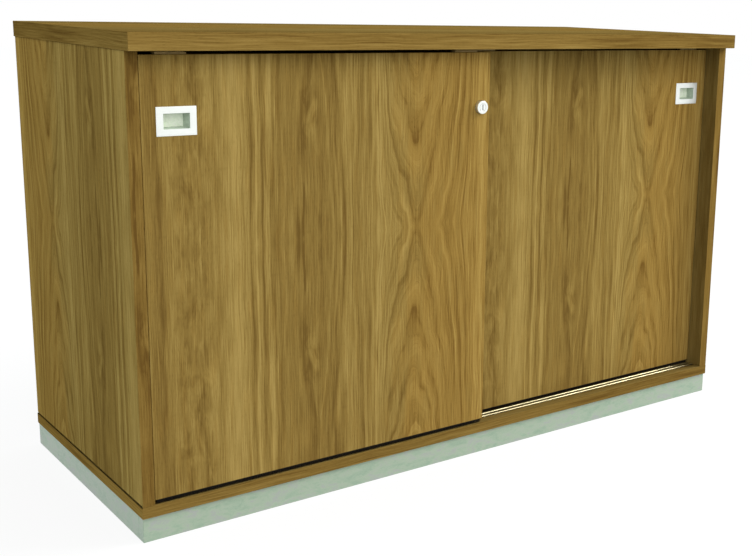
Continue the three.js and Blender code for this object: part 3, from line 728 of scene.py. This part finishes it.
def object_place(w, sizes, origin=(0.0, 0.0, 0.0)):
    """The place on the object from an origin in metres, in units of sizes in millimetres."""
    centre = w.node("ShaderNodeMapping", vector_type="TEXTURE")
    return w.fill(centre, ("Vector", w.node("ShaderNodeTexCoord").outputs["Object"]),
                  ("Location", origin), ("Scale", [size * MM for size in sizes]))


def dress_surface(w, surface, colour, roughness, relief, depth):
    """Gives a surface its colour and roughness, and a relief of a depth in metres."""
    bump = w.fill(w.node("ShaderNodeBump"), ("Distance", depth), ("Height", relief))
    w.fill(surface, ("Base Color", colour), ("Roughness", roughness), ("Normal", bump))


def wood_material(name, axes, origin, offset, warmth=0.0, tone_and_painted_light=1.0):
    """Veneer for a face. The axes run across, along and through the grain of its board."""
    material, w, surface = new_material(name)
    across, along, through = axes
    place = w.split(object_place(w, (1.0, 1.0, 1.0), origin))
    figure = w.node("ShaderNodeGroup", node_tree=FIGURE)
    w.fill(figure, ("Across", w.add(place[across], place[through], offset[0])),
           ("Along", w.add(w.times(place[along], -1.0), offset[1])),
           ("Warmth", warmth), ("Tone and painted light", tone_and_painted_light))
    dress_surface(w, surface, figure.outputs["Colour"], figure.outputs["Roughness"],
                  figure.outputs["Relief"], VENEER_RELIEF)
    surface.inputs["Specular IOR Level"].default_value = VENEER_GLOSS
    return material


print("veneer relief:", VENEER_RELIEF / MM, "mm")

# %% [markdown]
# Which part of the sheet goes where
#
# Both doors start at the sheet's own corner, so they show the same figure, as the real ones do.
# Every other board shifts the sheet across and along, which picks another part of it. The top,
# the bottom and the right side look darker than this studio lights them, so their sheets get
# painted shade: they are darker than those of the doors. The left side's sheet gets a little
# painted light.

# %% Lay out the boards
UPRIGHT_FRONT = "XZY"
UPRIGHT_SIDE = "YZX"
LYING = "YXZ"
LEFT, MIDDLE, RIGHT = 0.0, 0.5, 1.0
# The axes across, along and through the grain, where the sheet starts from left to right, and
# its shifts across and along in millimetres.
BOARDS = {
    "top_panel": (LYING, MIDDLE, (-380.0, 205.0)),
    "bottom_panel": (LYING, MIDDLE, (130.0, 90.0)),
    "left_side": (UPRIGHT_SIDE, LEFT, (112.0, 0.0)),
    "right_side": (UPRIGHT_SIDE, RIGHT, (112.0, 0.0)),
    "back_panel": (UPRIGHT_FRONT, LEFT, (6.25, 0.0)),
    "centre_divider": (UPRIGHT_SIDE, MIDDLE, (160.0, 0.0)),
    "left_shelf": (LYING, MIDDLE, (99.5, 54.5)),
    "right_shelf": (LYING, MIDDLE, (99.5, 325.5)),
    "outer_door_panel": (UPRIGHT_FRONT, LEFT, (0.0, 0.0)),
    "inner_door_panel": (UPRIGHT_FRONT, LEFT, (0.0, 0.0)),
}
sheet_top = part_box("outer_door_panel")[1][2]
# Painted light and shade: a factor on a board's whole sheet. Below 1 is painted shade in place of shade
# that the studio doesn't cast, and above 1 is painted light.
BOARD_PAINTED_LIGHT_AND_SHADE = {"left_side": 1.07, "right_side": 0.62, "top_panel": 0.66, "bottom_panel": 0.5}
END_BAND_OFFSET = (346.0, 40.0)
LONG_BAND_OFFSET = {"X": (346.0, 60.0), "Z": (239.0, 60.0)}
BAND_WARMTH = 0.8
# How light the bands across the ends and those along the grain are. This is partly the bands' own
# darker tone and partly painted shade, set apart by the side that a band faces.
BAND_TONE_AND_PAINTED_SHADE = {"top_panel": (0.76, 0.8), "bottom_panel": (1.0, 0.74)}
PLAIN_BAND_TONE_AND_PAINTED_SHADE = (0.76, 0.82)


def sheet_origin(node):
    """The sheet's corner, in metres: upright sheets all start level with the doors' top edges."""
    axes, x_share, _ = BOARDS[node]
    low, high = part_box(node)
    return (low[0] + (high[0] - low[0]) * x_share, low[1], high[2] if axes == LYING else sheet_top)


def board_finishes(node):
    """The veneers of a board's faces, of the bands across its ends and of those along them."""
    axes, _, offset = BOARDS[node]
    across, along, through = axes
    origin = sheet_origin(node)
    end_tone_and_painted_shade, long_tone_and_painted_shade = BAND_TONE_AND_PAINTED_SHADE.get(node, PLAIN_BAND_TONE_AND_PAINTED_SHADE)
    return (
        wood_material(node + "_veneer", axes, origin, offset, tone_and_painted_light=BOARD_PAINTED_LIGHT_AND_SHADE.get(node, 1.0)),
        wood_material(node + "_end_band", (along, across, through), origin, END_BAND_OFFSET,
                      BAND_WARMTH, end_tone_and_painted_shade),
        wood_material(node + "_long_band", (through, along, across), origin,
                      LONG_BAND_OFFSET[along], BAND_WARMTH, long_tone_and_painted_shade),
    )


print("boards:", ", ".join(BOARDS))

# %% [markdown]
# Plain finishes
#
# The rails are drawn aluminium, whose fine lines run lengthways. Castings and mouldings have a
# fine skin with faint clouds. The pulls' pockets get painted light and shade: a pale floor and
# darker walls, which are lighter and darker copies of the pull's pale casting. The keyway and the
# joints between boards get a painted shadow finish, and the rails' grooves get a deep brown as
# painted shade, because no light gets down there. A single flat colour would look like paint. So
# each has two close tones, mixed by clouds and flecks at the scale that the real one has, and a
# bump far under a millimetre. They share one recipe, and a table holds what differs.

# %% Make the plain finishes
SKIN_RELIEF = 0.00003
CLOUD_SHARE = 0.6
CLOUD_DETAIL = 2.0
FLECK_DETAIL = 1.0
TONE_SPAN = (0.36, 0.64)
FLECK_SPAN = (0.3, 0.7)
ROUGHER, SMOOTHER = 1.15, 0.85
METAL = {"Metallic": 1.0}


def matt(level):
    """A duller skin than plain plastic, whose level is 0.5."""
    return {"Specular IOR Level": level}


# Light tone, dark tone, clouds and flecks in millimetres, roughness, and other shader values.
PLAIN_FINISHES = {
    "rail_aluminium": ((214, 203, 162), (184, 172, 132), (60, 4, 4), (40, 0.5, 0.5), 0.36, METAL),
    "black_plastic": ((36, 31, 24), (26, 22, 17), 9, 0.7, 0.6, matt(0.12)),
    "nylon": ((214, 208, 188), (200, 192, 168), 8, 0.8, 0.45, {}),
    "brown_plastic": ((198, 170, 110), (176, 150, 95), 7, 0.7, 0.5, matt(0.15)),
    "zinc_plated_steel": ((214, 216, 214), (186, 190, 192), 5, 0.9, 0.3, METAL),
    "pale_zinc_casting": ((250, 253, 249), (244, 248, 242), 14, 0.6, 0.36, {"Metallic": 0.4}),
    "lock_zinc": ((250, 253, 249), (244, 248, 242), 14, 0.6, 0.3, {"Metallic": 0.85}),
    # The pocket's floor and walls are lighter and darker copies of the pulls' pale casting: painted
    # light on the floor, painted shade on the walls.
    "pocket_floor_painted_light": ((250, 255, 238), (230, 244, 214), 3.5, 0.7, 0.45,
                     {"Specular IOR Level": 1.0, "Coat Weight": 0.4}),
    "pocket_wall_painted_shade": ((190, 204, 184), (170, 184, 164), 5, 0.7, 0.45, {}),
    "keyway_shadow": ((30, 33, 30), (20, 23, 21), 3, 0.5, 0.6, matt(0.1)),
    "groove_shadow": ((34, 28, 16), (24, 20, 12), 3, 0.5, 0.6, matt(0.0)),
    # The rail's track gets a deep brown: painted shade inside the grooves.
    "rail_groove_painted_shade": ((96, 82, 46), (78, 66, 36), (40, 2, 2), (40, 0.5, 0.5), 0.5, matt(0.2)),
}


def sized_noise(w, size, detail, roughness=0.5, distortion=0.0):
    """Noise of a size in millimetres, or of one size for each axis."""
    sizes = size if isinstance(size, tuple) else (size, size, size)
    return w.noise(object_place(w, sizes), detail, roughness, distortion)


def plain_material(name, light, dark, cloud, fleck, roughness, shader_values):
    """Two tones mixed by large soft clouds and small flecks, with a matching skin."""
    material, w, surface = new_material(name)
    clouds = sized_noise(w, cloud, CLOUD_DETAIL)
    flecks = sized_noise(w, fleck, FLECK_DETAIL)
    mixed = w.add(w.times(clouds, CLOUD_SHARE), w.times(flecks, 1 - CLOUD_SHARE))
    colour = w.blend(w.span(mixed, *TONE_SPAN, 0.0, 1.0), screen(*dark), screen(*light))
    varied = w.span(flecks, *FLECK_SPAN, roughness * ROUGHER, roughness * SMOOTHER)
    dress_surface(w, surface, colour, varied, flecks, SKIN_RELIEF)
    for label, value in shader_values.items():
        surface.inputs[label].default_value = value
    return material


FINISHES = {name: plain_material(name, *row) for name, row in PLAIN_FINISHES.items()}
print("finishes:", ", ".join(FINISHES))

# %% [markdown]
# The plinth's laminate
#
# The plinth is a pale laminate with a faint shimmer: soft patches of green and of lilac grey, and
# short strokes between them. A ramp with five close tones turns one mixed noise into both, which
# keeps the patches soft where a hard pattern would look like marble.

# %% Make the laminate
LAMINATE_TONES = (
    (0.36, (142, 168, 143)), (0.45, (154, 177, 152)), (0.53, (165, 182, 158)),
    (0.61, (162, 169, 163)), (0.69, (173, 180, 169)),
)
# Size in millimetres, detail, roughness and distortion, and each one's share.
LAMINATE_PATCHES = ((34, 34, 16), 2.0, 0.6, 0.8)
LAMINATE_STROKES = ((9, 9, 2.6), 2.0, 0.6, 1.4)
LAMINATE_SPECKS = (1.1, 1.0)
PATCH_SHARE, STROKE_SHARE, SPECK_SHARE = 0.55, 0.3, 0.15
LAMINATE_ROUGHNESS = (0.42, 0.3)
LAMINATE_RELIEF = 0.00004
LAMINATE_GLOSS = 1.0


def laminate_material():
    """Pale laminate with soft patches of two tints and short strokes."""
    material, w, surface = new_material("plinth_laminate")
    strokes = sized_noise(w, *LAMINATE_STROKES)
    share = w.add(w.times(sized_noise(w, *LAMINATE_PATCHES), PATCH_SHARE),
                  w.times(strokes, STROKE_SHARE),
                  w.times(sized_noise(w, *LAMINATE_SPECKS), SPECK_SHARE))
    stops = [(place, screen(*tone)) for place, tone in LAMINATE_TONES]
    roughness = w.span(strokes, *FLECK_SPAN, *LAMINATE_ROUGHNESS)
    dress_surface(w, surface, w.ramp(share, stops, "LINEAR"), roughness, strokes, LAMINATE_RELIEF)
    surface.inputs["Specular IOR Level"].default_value = LAMINATE_GLOSS
    return material


FINISHES["plinth_laminate"] = laminate_material()
print("laminate tones:", len(LAMINATE_TONES))

# %% [markdown]
# Eased edges
#
# A sawn and banded board has edges broken by a fine sanding stroke. On the screen that narrow
# strip catches the light and tells the eye where the board ends. A node's own mesh is never
# changed, so each piece is copied, its doubled points are joined, its flat faces are dissolved
# into one, and a Bevel modifier rounds what is sharper than a set angle. A shader can fake such
# an edge too, but a fake doesn't leave Blender with the mesh.


# %% Copy a piece with eased edges
JOIN_DISTANCE = 0.00002
FLAT_ANGLE = math.radians(0.5)
ROUND_ANGLE = math.radians(38)
EDGE_SEGMENTS = 2


def finished_mesh(made):
    """Applies an object's modifiers by taking the mesh that they give."""
    graph = bpy.context.evaluated_depsgraph_get()
    mesh = bpy.data.meshes.new_from_object(made.evaluated_get(graph), depsgraph=graph)
    made.modifiers.clear()
    mesh.name = made.name
    old = made.data
    made.data = mesh
    bpy.data.meshes.remove(old)


def clean_copy(node):
    """The mesh of a node with its points joined and its flat faces in one piece."""
    work = bmesh.new()
    work.from_mesh(frame["nodes"][node].data)
    bmesh.ops.remove_doubles(work, verts=work.verts, dist=JOIN_DISTANCE)
    bmesh.ops.dissolve_limit(work, angle_limit=FLAT_ANGLE, verts=work.verts, edges=work.edges,
                             use_dissolve_boundaries=False)
    mesh = bpy.data.meshes.new(node)
    work.to_mesh(mesh)
    work.free()
    return mesh


def eased(node, radius, *materials):
    """A finished copy of a node, with its sharp edges rounded by a radius in metres."""
    made = made_object(node + "_finished", clean_copy(node), *materials)
    made.data.shade_smooth()
    made.data.set_sharp_from_angle(angle=ROUND_ANGLE)
    bevel = made.modifiers.new("eased_edge", "BEVEL")
    bevel.width = radius
    bevel.segments = EDGE_SEGMENTS
    bevel.limit_method = "ANGLE"
    bevel.angle_limit = ROUND_ANGLE
    bevel.use_clamp_overlap = True
    level = made.modifiers.new("level_faces", "WEIGHTED_NORMAL")
    level.mode = "FACE_AREA"
    finished_mesh(made)
    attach(made, body_of_node[node])
    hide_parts(node)
    return made


print("flat faces join below", round(math.degrees(FLAT_ANGLE), 2), "degrees")

# %% [markdown]
# Finish the boards
#
# The way that a face looks decides whether it is a face of the board or one of its bands. Where a
# side board stands on the bottom board, the real cabinet shows a thin dark line. Light can't
# reach far into such a joint, so the few faces in it get a shadow finish.

# %% Ease and veneer the boards
AXIS_INDEX = {"X": 0, "Y": 1, "Z": 2}
FACE, END_BAND, LONG_BAND = 0, 1, 2
BAND_NORMAL = 0.8
BOARD_EDGE = 0.0007
# The shadow line above the side boards' lower edge, and the thin one below it.
REVEAL_INSET = 0.0004
REVEAL_HEIGHT = 0.00178
JOINT_LIP = 0.0007
JOINT_SKIN = 0.00002

side_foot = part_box("left_side")[0][2]
bottom_low, bottom_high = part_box("bottom_panel")


def at_side_foot(place):
    return side_foot + REVEAL_INSET < place.z < side_foot + REVEAL_HEIGHT


def at_bottom_edge(place):
    beside = place.x < bottom_low[0] + JOINT_LIP or place.x > bottom_high[0] - JOINT_LIP
    return beside and bottom_high[2] - JOINT_LIP < place.z < bottom_high[2] - JOINT_SKIN


JOINT_FACES = {"left_side": at_side_foot, "right_side": at_side_foot, "bottom_panel": at_bottom_edge}

for node in BOARDS:
    across, along = BOARDS[node][0][:2]
    board = eased(node, BOARD_EDGE, *board_finishes(node))
    for polygon in board.data.polygons:
        faces_end = abs(polygon.normal[AXIS_INDEX[along]]) > BAND_NORMAL
        faces_edge = abs(polygon.normal[AXIS_INDEX[across]]) > BAND_NORMAL
        polygon.material_index = END_BAND if faces_end else LONG_BAND if faces_edge else FACE
    if node in JOINT_FACES:
        board.data.materials.append(FINISHES["groove_shadow"])
        for polygon in board.data.polygons:
            if JOINT_FACES[node](polygon.center):
                polygon.material_index = len(board.data.materials) - 1
    print(node, len(board.data.polygons), "faces")

# %% [markdown]
# Finish the small pieces
#
# Each small piece gets an edge that suits how it was made: a moulding is rounder than a drawn
# rail. The lock's face is shinier than the pulls. The inside of a pull's pocket and of the key
# slot is told from the outside by how deep a face lies, and its floor from its walls by the way
# that it faces. These insides get painted light and shade, and a rail's track gets painted shade.

# %% Ease and dress the small pieces
SMALL_EDGES = {
    "plinth_laminate": 0.0006,
    "rail_aluminium": 0.00012,
    "black_plastic": 0.0004,
    "nylon": 0.00025,
    "brown_plastic": 0.0003,
    "zinc_plated_steel": 0.0002,
    "pale_zinc_casting": 0.0004,
    "walnut_veneer": BOARD_EDGE,
}
OWN_EDGE = {"key_plug": 0.00015}
OWN_FINISH = {"lock_barrel": "lock_zinc", "key_plug": "lock_zinc"}
# The floor and the walls of what is sunk into a piece. A pocket gets painted light on its floor and
# painted shade on its walls, and the key slot gets painted shadow.
LININGS = {
    "outer_pull": ("pocket_floor_painted_light", "pocket_wall_painted_shade"),
    "inner_pull": ("pocket_floor_painted_light", "pocket_wall_painted_shade"),
    "key_plug": ("keyway_shadow", "keyway_shadow"),
}
OUTSIDE, LINING_FLOOR, LINING_WALL = 0, 1, 2
LINING_DEPTH = 0.0014
FLOOR_NORMAL = 0.8
RAIL_GROOVE_DEPTH = 0.0007
FINISHES["walnut_veneer"] = wood_material("plinth_block_wood", UPRIGHT_FRONT, (0.0, 0.0, 0.0),
                                          (120.0, 0.0))


def line_piece(piece, node):
    """Gives the lining finishes, which are painted light and shade, to the faces that lie deeper than
    the piece's front.
    """
    for lining in LININGS[node]:
        piece.data.materials.append(FINISHES[lining])
    lining_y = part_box(node)[0][1] + LINING_DEPTH
    for polygon in piece.data.polygons:
        faces_front = polygon.normal.y < -FLOOR_NORMAL
        lining_index = LINING_FLOOR if faces_front else LINING_WALL
        polygon.material_index = lining_index if polygon.center.y > lining_y else OUTSIDE


def paint_groove_shade(piece, node):
    """Gives a rail's track a deep brown as painted shade, since little light gets into its grooves."""
    piece.data.materials.append(FINISHES["rail_groove_painted_shade"])
    groove_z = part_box(node)[1][2] - RAIL_GROOVE_DEPTH
    for polygon in piece.data.polygons:
        polygon.material_index = int(polygon.center.z < groove_z)


small_nodes = [node for node in frame["nodes"] if node not in BOARDS]
for node in small_nodes:
    slot = slot_of_node[node]
    edge = OWN_EDGE.get(node, SMALL_EDGES[slot])
    piece = eased(node, edge, FINISHES[OWN_FINISH.get(node, slot)])
    if slot == "rail_aluminium":
        paint_groove_shade(piece, node)
    if node in LININGS:
        line_piece(piece, node)
print("small pieces:", len(small_nodes))

# %% [markdown]
# Pieces that repeat
#
# Screws, bristles and cover caps repeat, so each is made once by Geometry Nodes and set on every
# point of a small mesh that holds only the places. At the end the copies are made real, because
# the export keeps no instances, and the result is kept as one plain mesh for each body.


# %% Prepare the node trees
class Tree(Wiring):
    """A Geometry Nodes tree with named inputs for its sizes."""

    def __init__(self, name, **sizes):
        self.group = bpy.data.node_groups.new(name, "GeometryNodeTree")
        super().__init__(self.group)
        self.add_socket("Geometry", "NodeSocketGeometry", "OUTPUT")
        self.add_socket("Geometry", "NodeSocketGeometry")
        self.defaults = {}
        for label, value in sizes.items():
            kind = "NodeSocketInt" if isinstance(value, int) else "NodeSocketFloat"
            self.defaults[label] = (self.add_socket(label, kind), value)
        self.finish_input = self.add_socket("Finish", "NodeSocketMaterial")
        self.given = self.node("NodeGroupInput").outputs

    def add_socket(self, label, kind, way="INPUT"):
        made = self.group.interface.new_socket(label, in_out=way, socket_type=kind)
        return made.identifier

    def part(self, kind, *values, **settings):
        """Adds a geometry node, feeds its inputs by label and returns its first output."""
        return self.fill(self.node("GeometryNode" + kind, **settings), *values)

    def moved(self, geometry, x=0.0, y=0.0, z=0.0):
        place = self.vector(x, y, z)
        return self.part("Transform", ("Geometry", geometry), ("Translation", place))

    def joined(self, *geometries):
        made = self.node("GeometryNodeJoinGeometry")
        for geometry in reversed(geometries):
            self.feed(made.inputs[0], geometry)
        return made.outputs[0]

    def random(self, low, high, seed):
        """A random value for each point."""
        made = self.node("FunctionNodeRandomValue", data_type="FLOAT")
        shown = {socket.name: socket for socket in made.inputs if socket.enabled}
        for label, value in (("Min", low), ("Max", high), ("Seed", seed)):
            self.feed(shown[label], value)
        return next(socket for socket in made.outputs if socket.enabled)

    def finish(self, geometry):
        """Ends the tree: real copies with the finish that was asked for."""
        real = self.part("RealizeInstances", ("Geometry", geometry))
        dressed = self.part("SetMaterial", ("Geometry", real), ("Material", self.given["Finish"]))
        self.feed(self.node("NodeGroupOutput").inputs[0], dressed)


def made_by(tree, name, places, body, slot, edges=()):
    """Runs a tree on a mesh of places and keeps the result as one plain mesh on a body."""
    mesh = bpy.data.meshes.new(name)
    mesh.from_pydata(places, edges, [])
    made = made_object(name, mesh)
    modifier = made.modifiers.new("pieces", "NODES")
    modifier.node_group = tree.group
    for identifier, value in tree.defaults.values():
        modifier[identifier] = value
    modifier[tree.finish_input] = FINISHES[slot]
    finished_mesh(made)
    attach(made, body)
    print(name, len(made.data.polygons), "faces")


# %% [markdown]
# Screws
#
# A fitting is held by countersunk screws with a cross recess. The modelled head is a short cone
# with a cross cut into it by a boolean, on a plain shank, which is all that ever shows. A thread
# would be thousands of faces inside the wood. A fixed seed gives each screw another turn, as a
# fitter leaves them.

# %% Model the screw
QUARTER_TURN = math.pi / 2
SCREW_HEAD_DEPTH = 0.0018


def screw_tree():
    tree = Tree("countersunk_screws", head_radius=0.0036, neck_radius=0.002,
                head_depth=SCREW_HEAD_DEPTH, shank_length=0.0018, cross_length=0.0042,
                cross_width=0.0009, cross_depth=0.0022, seed=7)
    given = tree.given
    head = tree.part("MeshCone", ("Vertices", 32), ("Radius Top", given["head_radius"]),
                     ("Radius Bottom", given["neck_radius"]), ("Depth", given["head_depth"]))
    shank = tree.part("MeshCylinder", ("Vertices", 16), ("Radius", given["neck_radius"]),
                      ("Depth", given["shank_length"]))
    shank = tree.moved(shank, z=tree.times(given["shank_length"], -0.5))
    long, wide, deep = (given["cross_" + side] for side in ("length", "width", "depth"))
    arms = [(long, wide, deep), (wide, long, deep)]
    cross = tree.joined(*[tree.part("MeshCube", ("Size", tree.vector(*arm))) for arm in arms])
    recess = tree.moved(cross, z=given["head_depth"])
    cut_head = tree.node("GeometryNodeMeshBoolean", operation="DIFFERENCE", solver="EXACT")
    tree.feed(cut_head.inputs[0], head)
    tree.feed(cut_head.inputs[1], recess)
    cut_head.inputs["Self Intersection"].default_value = True
    screw = tree.joined(cut_head.outputs[0], shank)
    laid = tree.part("InstanceOnPoints", ("Points", given["Geometry"]), ("Instance", screw),
                     ("Rotation", tree.vector(-QUARTER_TURN)))
    spin = tree.vector(0.0, 0.0, tree.random(0.0, math.tau, given["seed"]))
    laid = tree.part("RotateInstances", ("Instances", laid), ("Rotation", spin), ("Local Space", True))
    tree.finish(laid)
    return tree


SCREWS = screw_tree()
print("screw tree:", len(SCREWS.group.nodes), "nodes")

# %% [markdown]
# Where the screws go
#
# Each wheel carrier is held by two screws above its wheel, and the lock's housing by one above
# and one below the barrel. Their heads lie a hair under the surface of the rear faces, in the
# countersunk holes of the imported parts, so the places are worked out from the boxes of those parts.

# %% Set the screws
SCREW_FACE_GAP = 0.0001
CARRIER_SCREW_OFFSET = 0.0135
CARRIER_SCREW_DROP = 0.01
CARRIER_PLATE = 0.004
HOUSING_SCREW_OFFSET = 0.016


def carrier_screws(node):
    low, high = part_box(node)
    middle = (low[0] + high[0]) / 2
    y = low[1] + CARRIER_PLATE - SCREW_HEAD_DEPTH - SCREW_FACE_GAP
    z = high[2] - CARRIER_SCREW_DROP
    return [(middle + side * CARRIER_SCREW_OFFSET, y, z) for side in (-1, 1)]


def housing_screws(node):
    low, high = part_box(node)
    x = (low[0] + high[0]) / 2
    y = high[1] - SCREW_HEAD_DEPTH - SCREW_FACE_GAP
    z = (low[2] + high[2]) / 2
    return [(x, y, z + side * HOUSING_SCREW_OFFSET) for side in (-1, 1)]


screw_places = {"outer_door": housing_screws("lock_housing"), "inner_door": []}
for body in screw_places:
    for end in ("left", "right"):
        screw_places[body] += carrier_screws(f"{body[:5]}_{end}_wheel_carrier")
    made_by(SCREWS, body + "_screws", screw_places[body], body, "zinc_plated_steel")

# %% [markdown]
# Dust brushes, black as painted shadow
#
# The gap under both doors shows a black band of deep shade. A black dust brush of a sliding door
# fills it and stands in for that shade as painted shadow: a thin strip glued under the door with
# three rows of short bristles, which end just above the board and the rail. The rows are given
# as lines, and the tree sets a bristle on each step along them, a little leaning and cut
# unevenly. A texture on a solid strip would be simpler, but its lower edge would be too straight.

# %% Model the dust brush
BRISTLE_TIP_SHARE = 0.7
BRUSH_STRIP_HEIGHT = 0.0013


def bristle_rows(tree, given):
    """A bristle on each step along the rows, each with its own lean and length."""
    rows = tree.part("MeshToCurve", ("Mesh", given["Geometry"]))
    steps = tree.part("ResampleCurve", ("Curve", rows), ("Length", given["pitch"]), mode="LENGTH")
    radius = given["bristle_radius"]
    bristle = tree.part("MeshCone", ("Vertices", 4), ("Radius Top", radius),
                        ("Radius Bottom", tree.times(radius, BRISTLE_TIP_SHARE)),
                        ("Depth", given["bristle_length"]))
    bristle = tree.moved(bristle, z=tree.times(given["bristle_length"], -1.0))
    splay, seed = given["splay"], given["seed"]
    lean = tree.minus(0.0, splay)
    tilt = tree.vector(tree.random(lean, splay, seed), tree.random(lean, splay, tree.add(seed, 1)))
    cut = tree.random(tree.minus(1.0, given["unevenness"]), 1.0, tree.add(seed, 2))
    return tree.part("InstanceOnPoints", ("Points", steps), ("Instance", bristle),
                     ("Rotation", tilt), ("Scale", tree.vector(1.0, 1.0, cut)))


def brush_strip(tree, given):
    """The strip that holds the bristles: a box round all rows, with its foot at their height."""
    box = tree.node("GeometryNodeBoundBox")
    tree.feed(box.inputs[0], given["Geometry"])
    low, high = box.outputs["Min"], box.outputs["Max"]
    overlap, height = given["strip_overlap"], given["strip_height"]
    rows_size = tree.vector_math("SUBTRACT", high, low)
    size = tree.vector_math("ADD", rows_size, tree.vector(overlap, overlap, height))
    middle = tree.vector_math("MULTIPLY", tree.vector_math("ADD", low, high), (0.5, 0.5, 0.5))
    place = tree.vector_math("ADD", middle, tree.vector(0.0, 0.0, tree.times(height, 0.5)))
    strip = tree.part("MeshCube", ("Size", size))
    return tree.part("Transform", ("Geometry", strip), ("Translation", place))


def brush_tree():
    tree = Tree("dust_brush_painted_shadow", pitch=0.00072, bristle_radius=0.00021, bristle_length=0.0053,
                splay=0.07, unevenness=0.05, strip_height=BRUSH_STRIP_HEIGHT, strip_overlap=0.0016,
                seed=11)
    tree.finish(tree.joined(bristle_rows(tree, tree.given), brush_strip(tree, tree.given)))
    return tree


BRUSH = brush_tree()
print("brush tree:", len(BRUSH.group.nodes), "nodes")

# %% Hang the brushes under the doors
BRUSH_ROWS = (0.0018, 0.003, 0.0042)
BRUSH_END_GAP = 0.003

for body in ("outer_door", "inner_door"):
    low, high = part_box(body + "_panel")
    row_z = low[2] - BRUSH_STRIP_HEIGHT
    row_ends = []
    for depth in BRUSH_ROWS:
        row_ends.append((low[0] + BRUSH_END_GAP, low[1] + depth, row_z))
        row_ends.append((high[0] - BRUSH_END_GAP, low[1] + depth, row_z))
    row_edges = [(2 * row, 2 * row + 1) for row in range(len(BRUSH_ROWS))]
    # The brush's black paints the shade in the gap under the door.
    made_by(BRUSH, body + "_dust_brush_painted_shadow", row_ends, body, "black_plastic", row_edges)

# %% [markdown]
# Cover caps inside
#
# Cabinets of this kind are held together by cams turned from inside, and each cam is closed by a
# small round cap. They are out of sight while the doors are shut. Each cap is one low cone,
# whose slanting rim catches the light where a flat disc would not, copied by a tree that turns
# it to the side that its board faces.

# %% Set the cover caps
def cap_tree(name, turn):
    tree = Tree(name, cap_radius=0.0066, cap_face_radius=0.0059, cap_height=0.0009)
    given = tree.given
    cap = tree.part("MeshCone", ("Vertices", 40), ("Radius Top", given["cap_face_radius"]),
                    ("Radius Bottom", given["cap_radius"]), ("Depth", given["cap_height"]))
    laid = tree.part("InstanceOnPoints", ("Points", given["Geometry"]), ("Instance", cap),
                     ("Rotation", tree.vector(0.0, turn)))
    tree.finish(laid)
    return tree


CAP_DEPTHS = (-0.12, 0.18)
CAP_HEIGHTS = (0.09, 0.671)
RIGHT_CAPS = cap_tree("caps_facing_right", QUARTER_TURN)
LEFT_CAPS = cap_tree("caps_facing_left", -QUARTER_TURN)


def caps(name, tree, x):
    places = [(x, y, z) for y in CAP_DEPTHS for z in CAP_HEIGHTS]
    made_by(tree, name, places, "carcass", "brown_plastic")


divider_low, divider_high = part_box("centre_divider")
caps("left_side_caps", RIGHT_CAPS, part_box("left_side")[1][0])
caps("right_side_caps", LEFT_CAPS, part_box("right_side")[0][0])
caps("divider_left_caps", LEFT_CAPS, divider_low[0])
caps("divider_right_caps", RIGHT_CAPS, divider_high[0])

# %% [markdown]
# Shadow beads
#
# A thin dark line of shade runs along the front of each rail. It is built as a narrow black bead
# between each rail and the board that it is let into, which paints that shade as painted shadow.
# A dark stripe in the rail's finish would do from the front, but a bead also has a round edge
# from near by.

# %% Lay the shadow beads
BEAD_WIDTH = 0.0007
BEAD_HEIGHT = 0.0008
BEAD_SEGMENTS = 6


def bead(name, rail):
    """A black quarter-round strip along a rail's front edge, on the board's top face, as painted
    shadow.
    """
    low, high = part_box(rail)
    board_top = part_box("bottom_panel")[1][2]
    outline = [(low[1], board_top)]
    for step in range(BEAD_SEGMENTS + 1):
        turn = QUARTER_TURN * step / BEAD_SEGMENTS
        outline.append((low[1] - BEAD_WIDTH * math.cos(turn), board_top + BEAD_HEIGHT * math.sin(turn)))
    work = bmesh.new()
    left_end, right_end = ([work.verts.new((x, y, z)) for y, z in outline] for x in (low[0], high[0]))
    count = len(outline)
    for i in range(count):
        j = (i + 1) % count
        work.faces.new((left_end[i], left_end[j], right_end[j], right_end[i]))
    work.faces.new(left_end)
    work.faces.new(right_end)
    bmesh.ops.recalc_face_normals(work, faces=work.faces)
    mesh = bpy.data.meshes.new(name)
    work.to_mesh(mesh)
    work.free()
    made = made_object(name, mesh, FINISHES["black_plastic"])
    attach(made, "carcass")


for door in ("outer", "inner"):
    bead(door + "_rail_shadow_bead", door + "_floor_rail")
print("beads:", BEAD_WIDTH / MM, "mm wide")
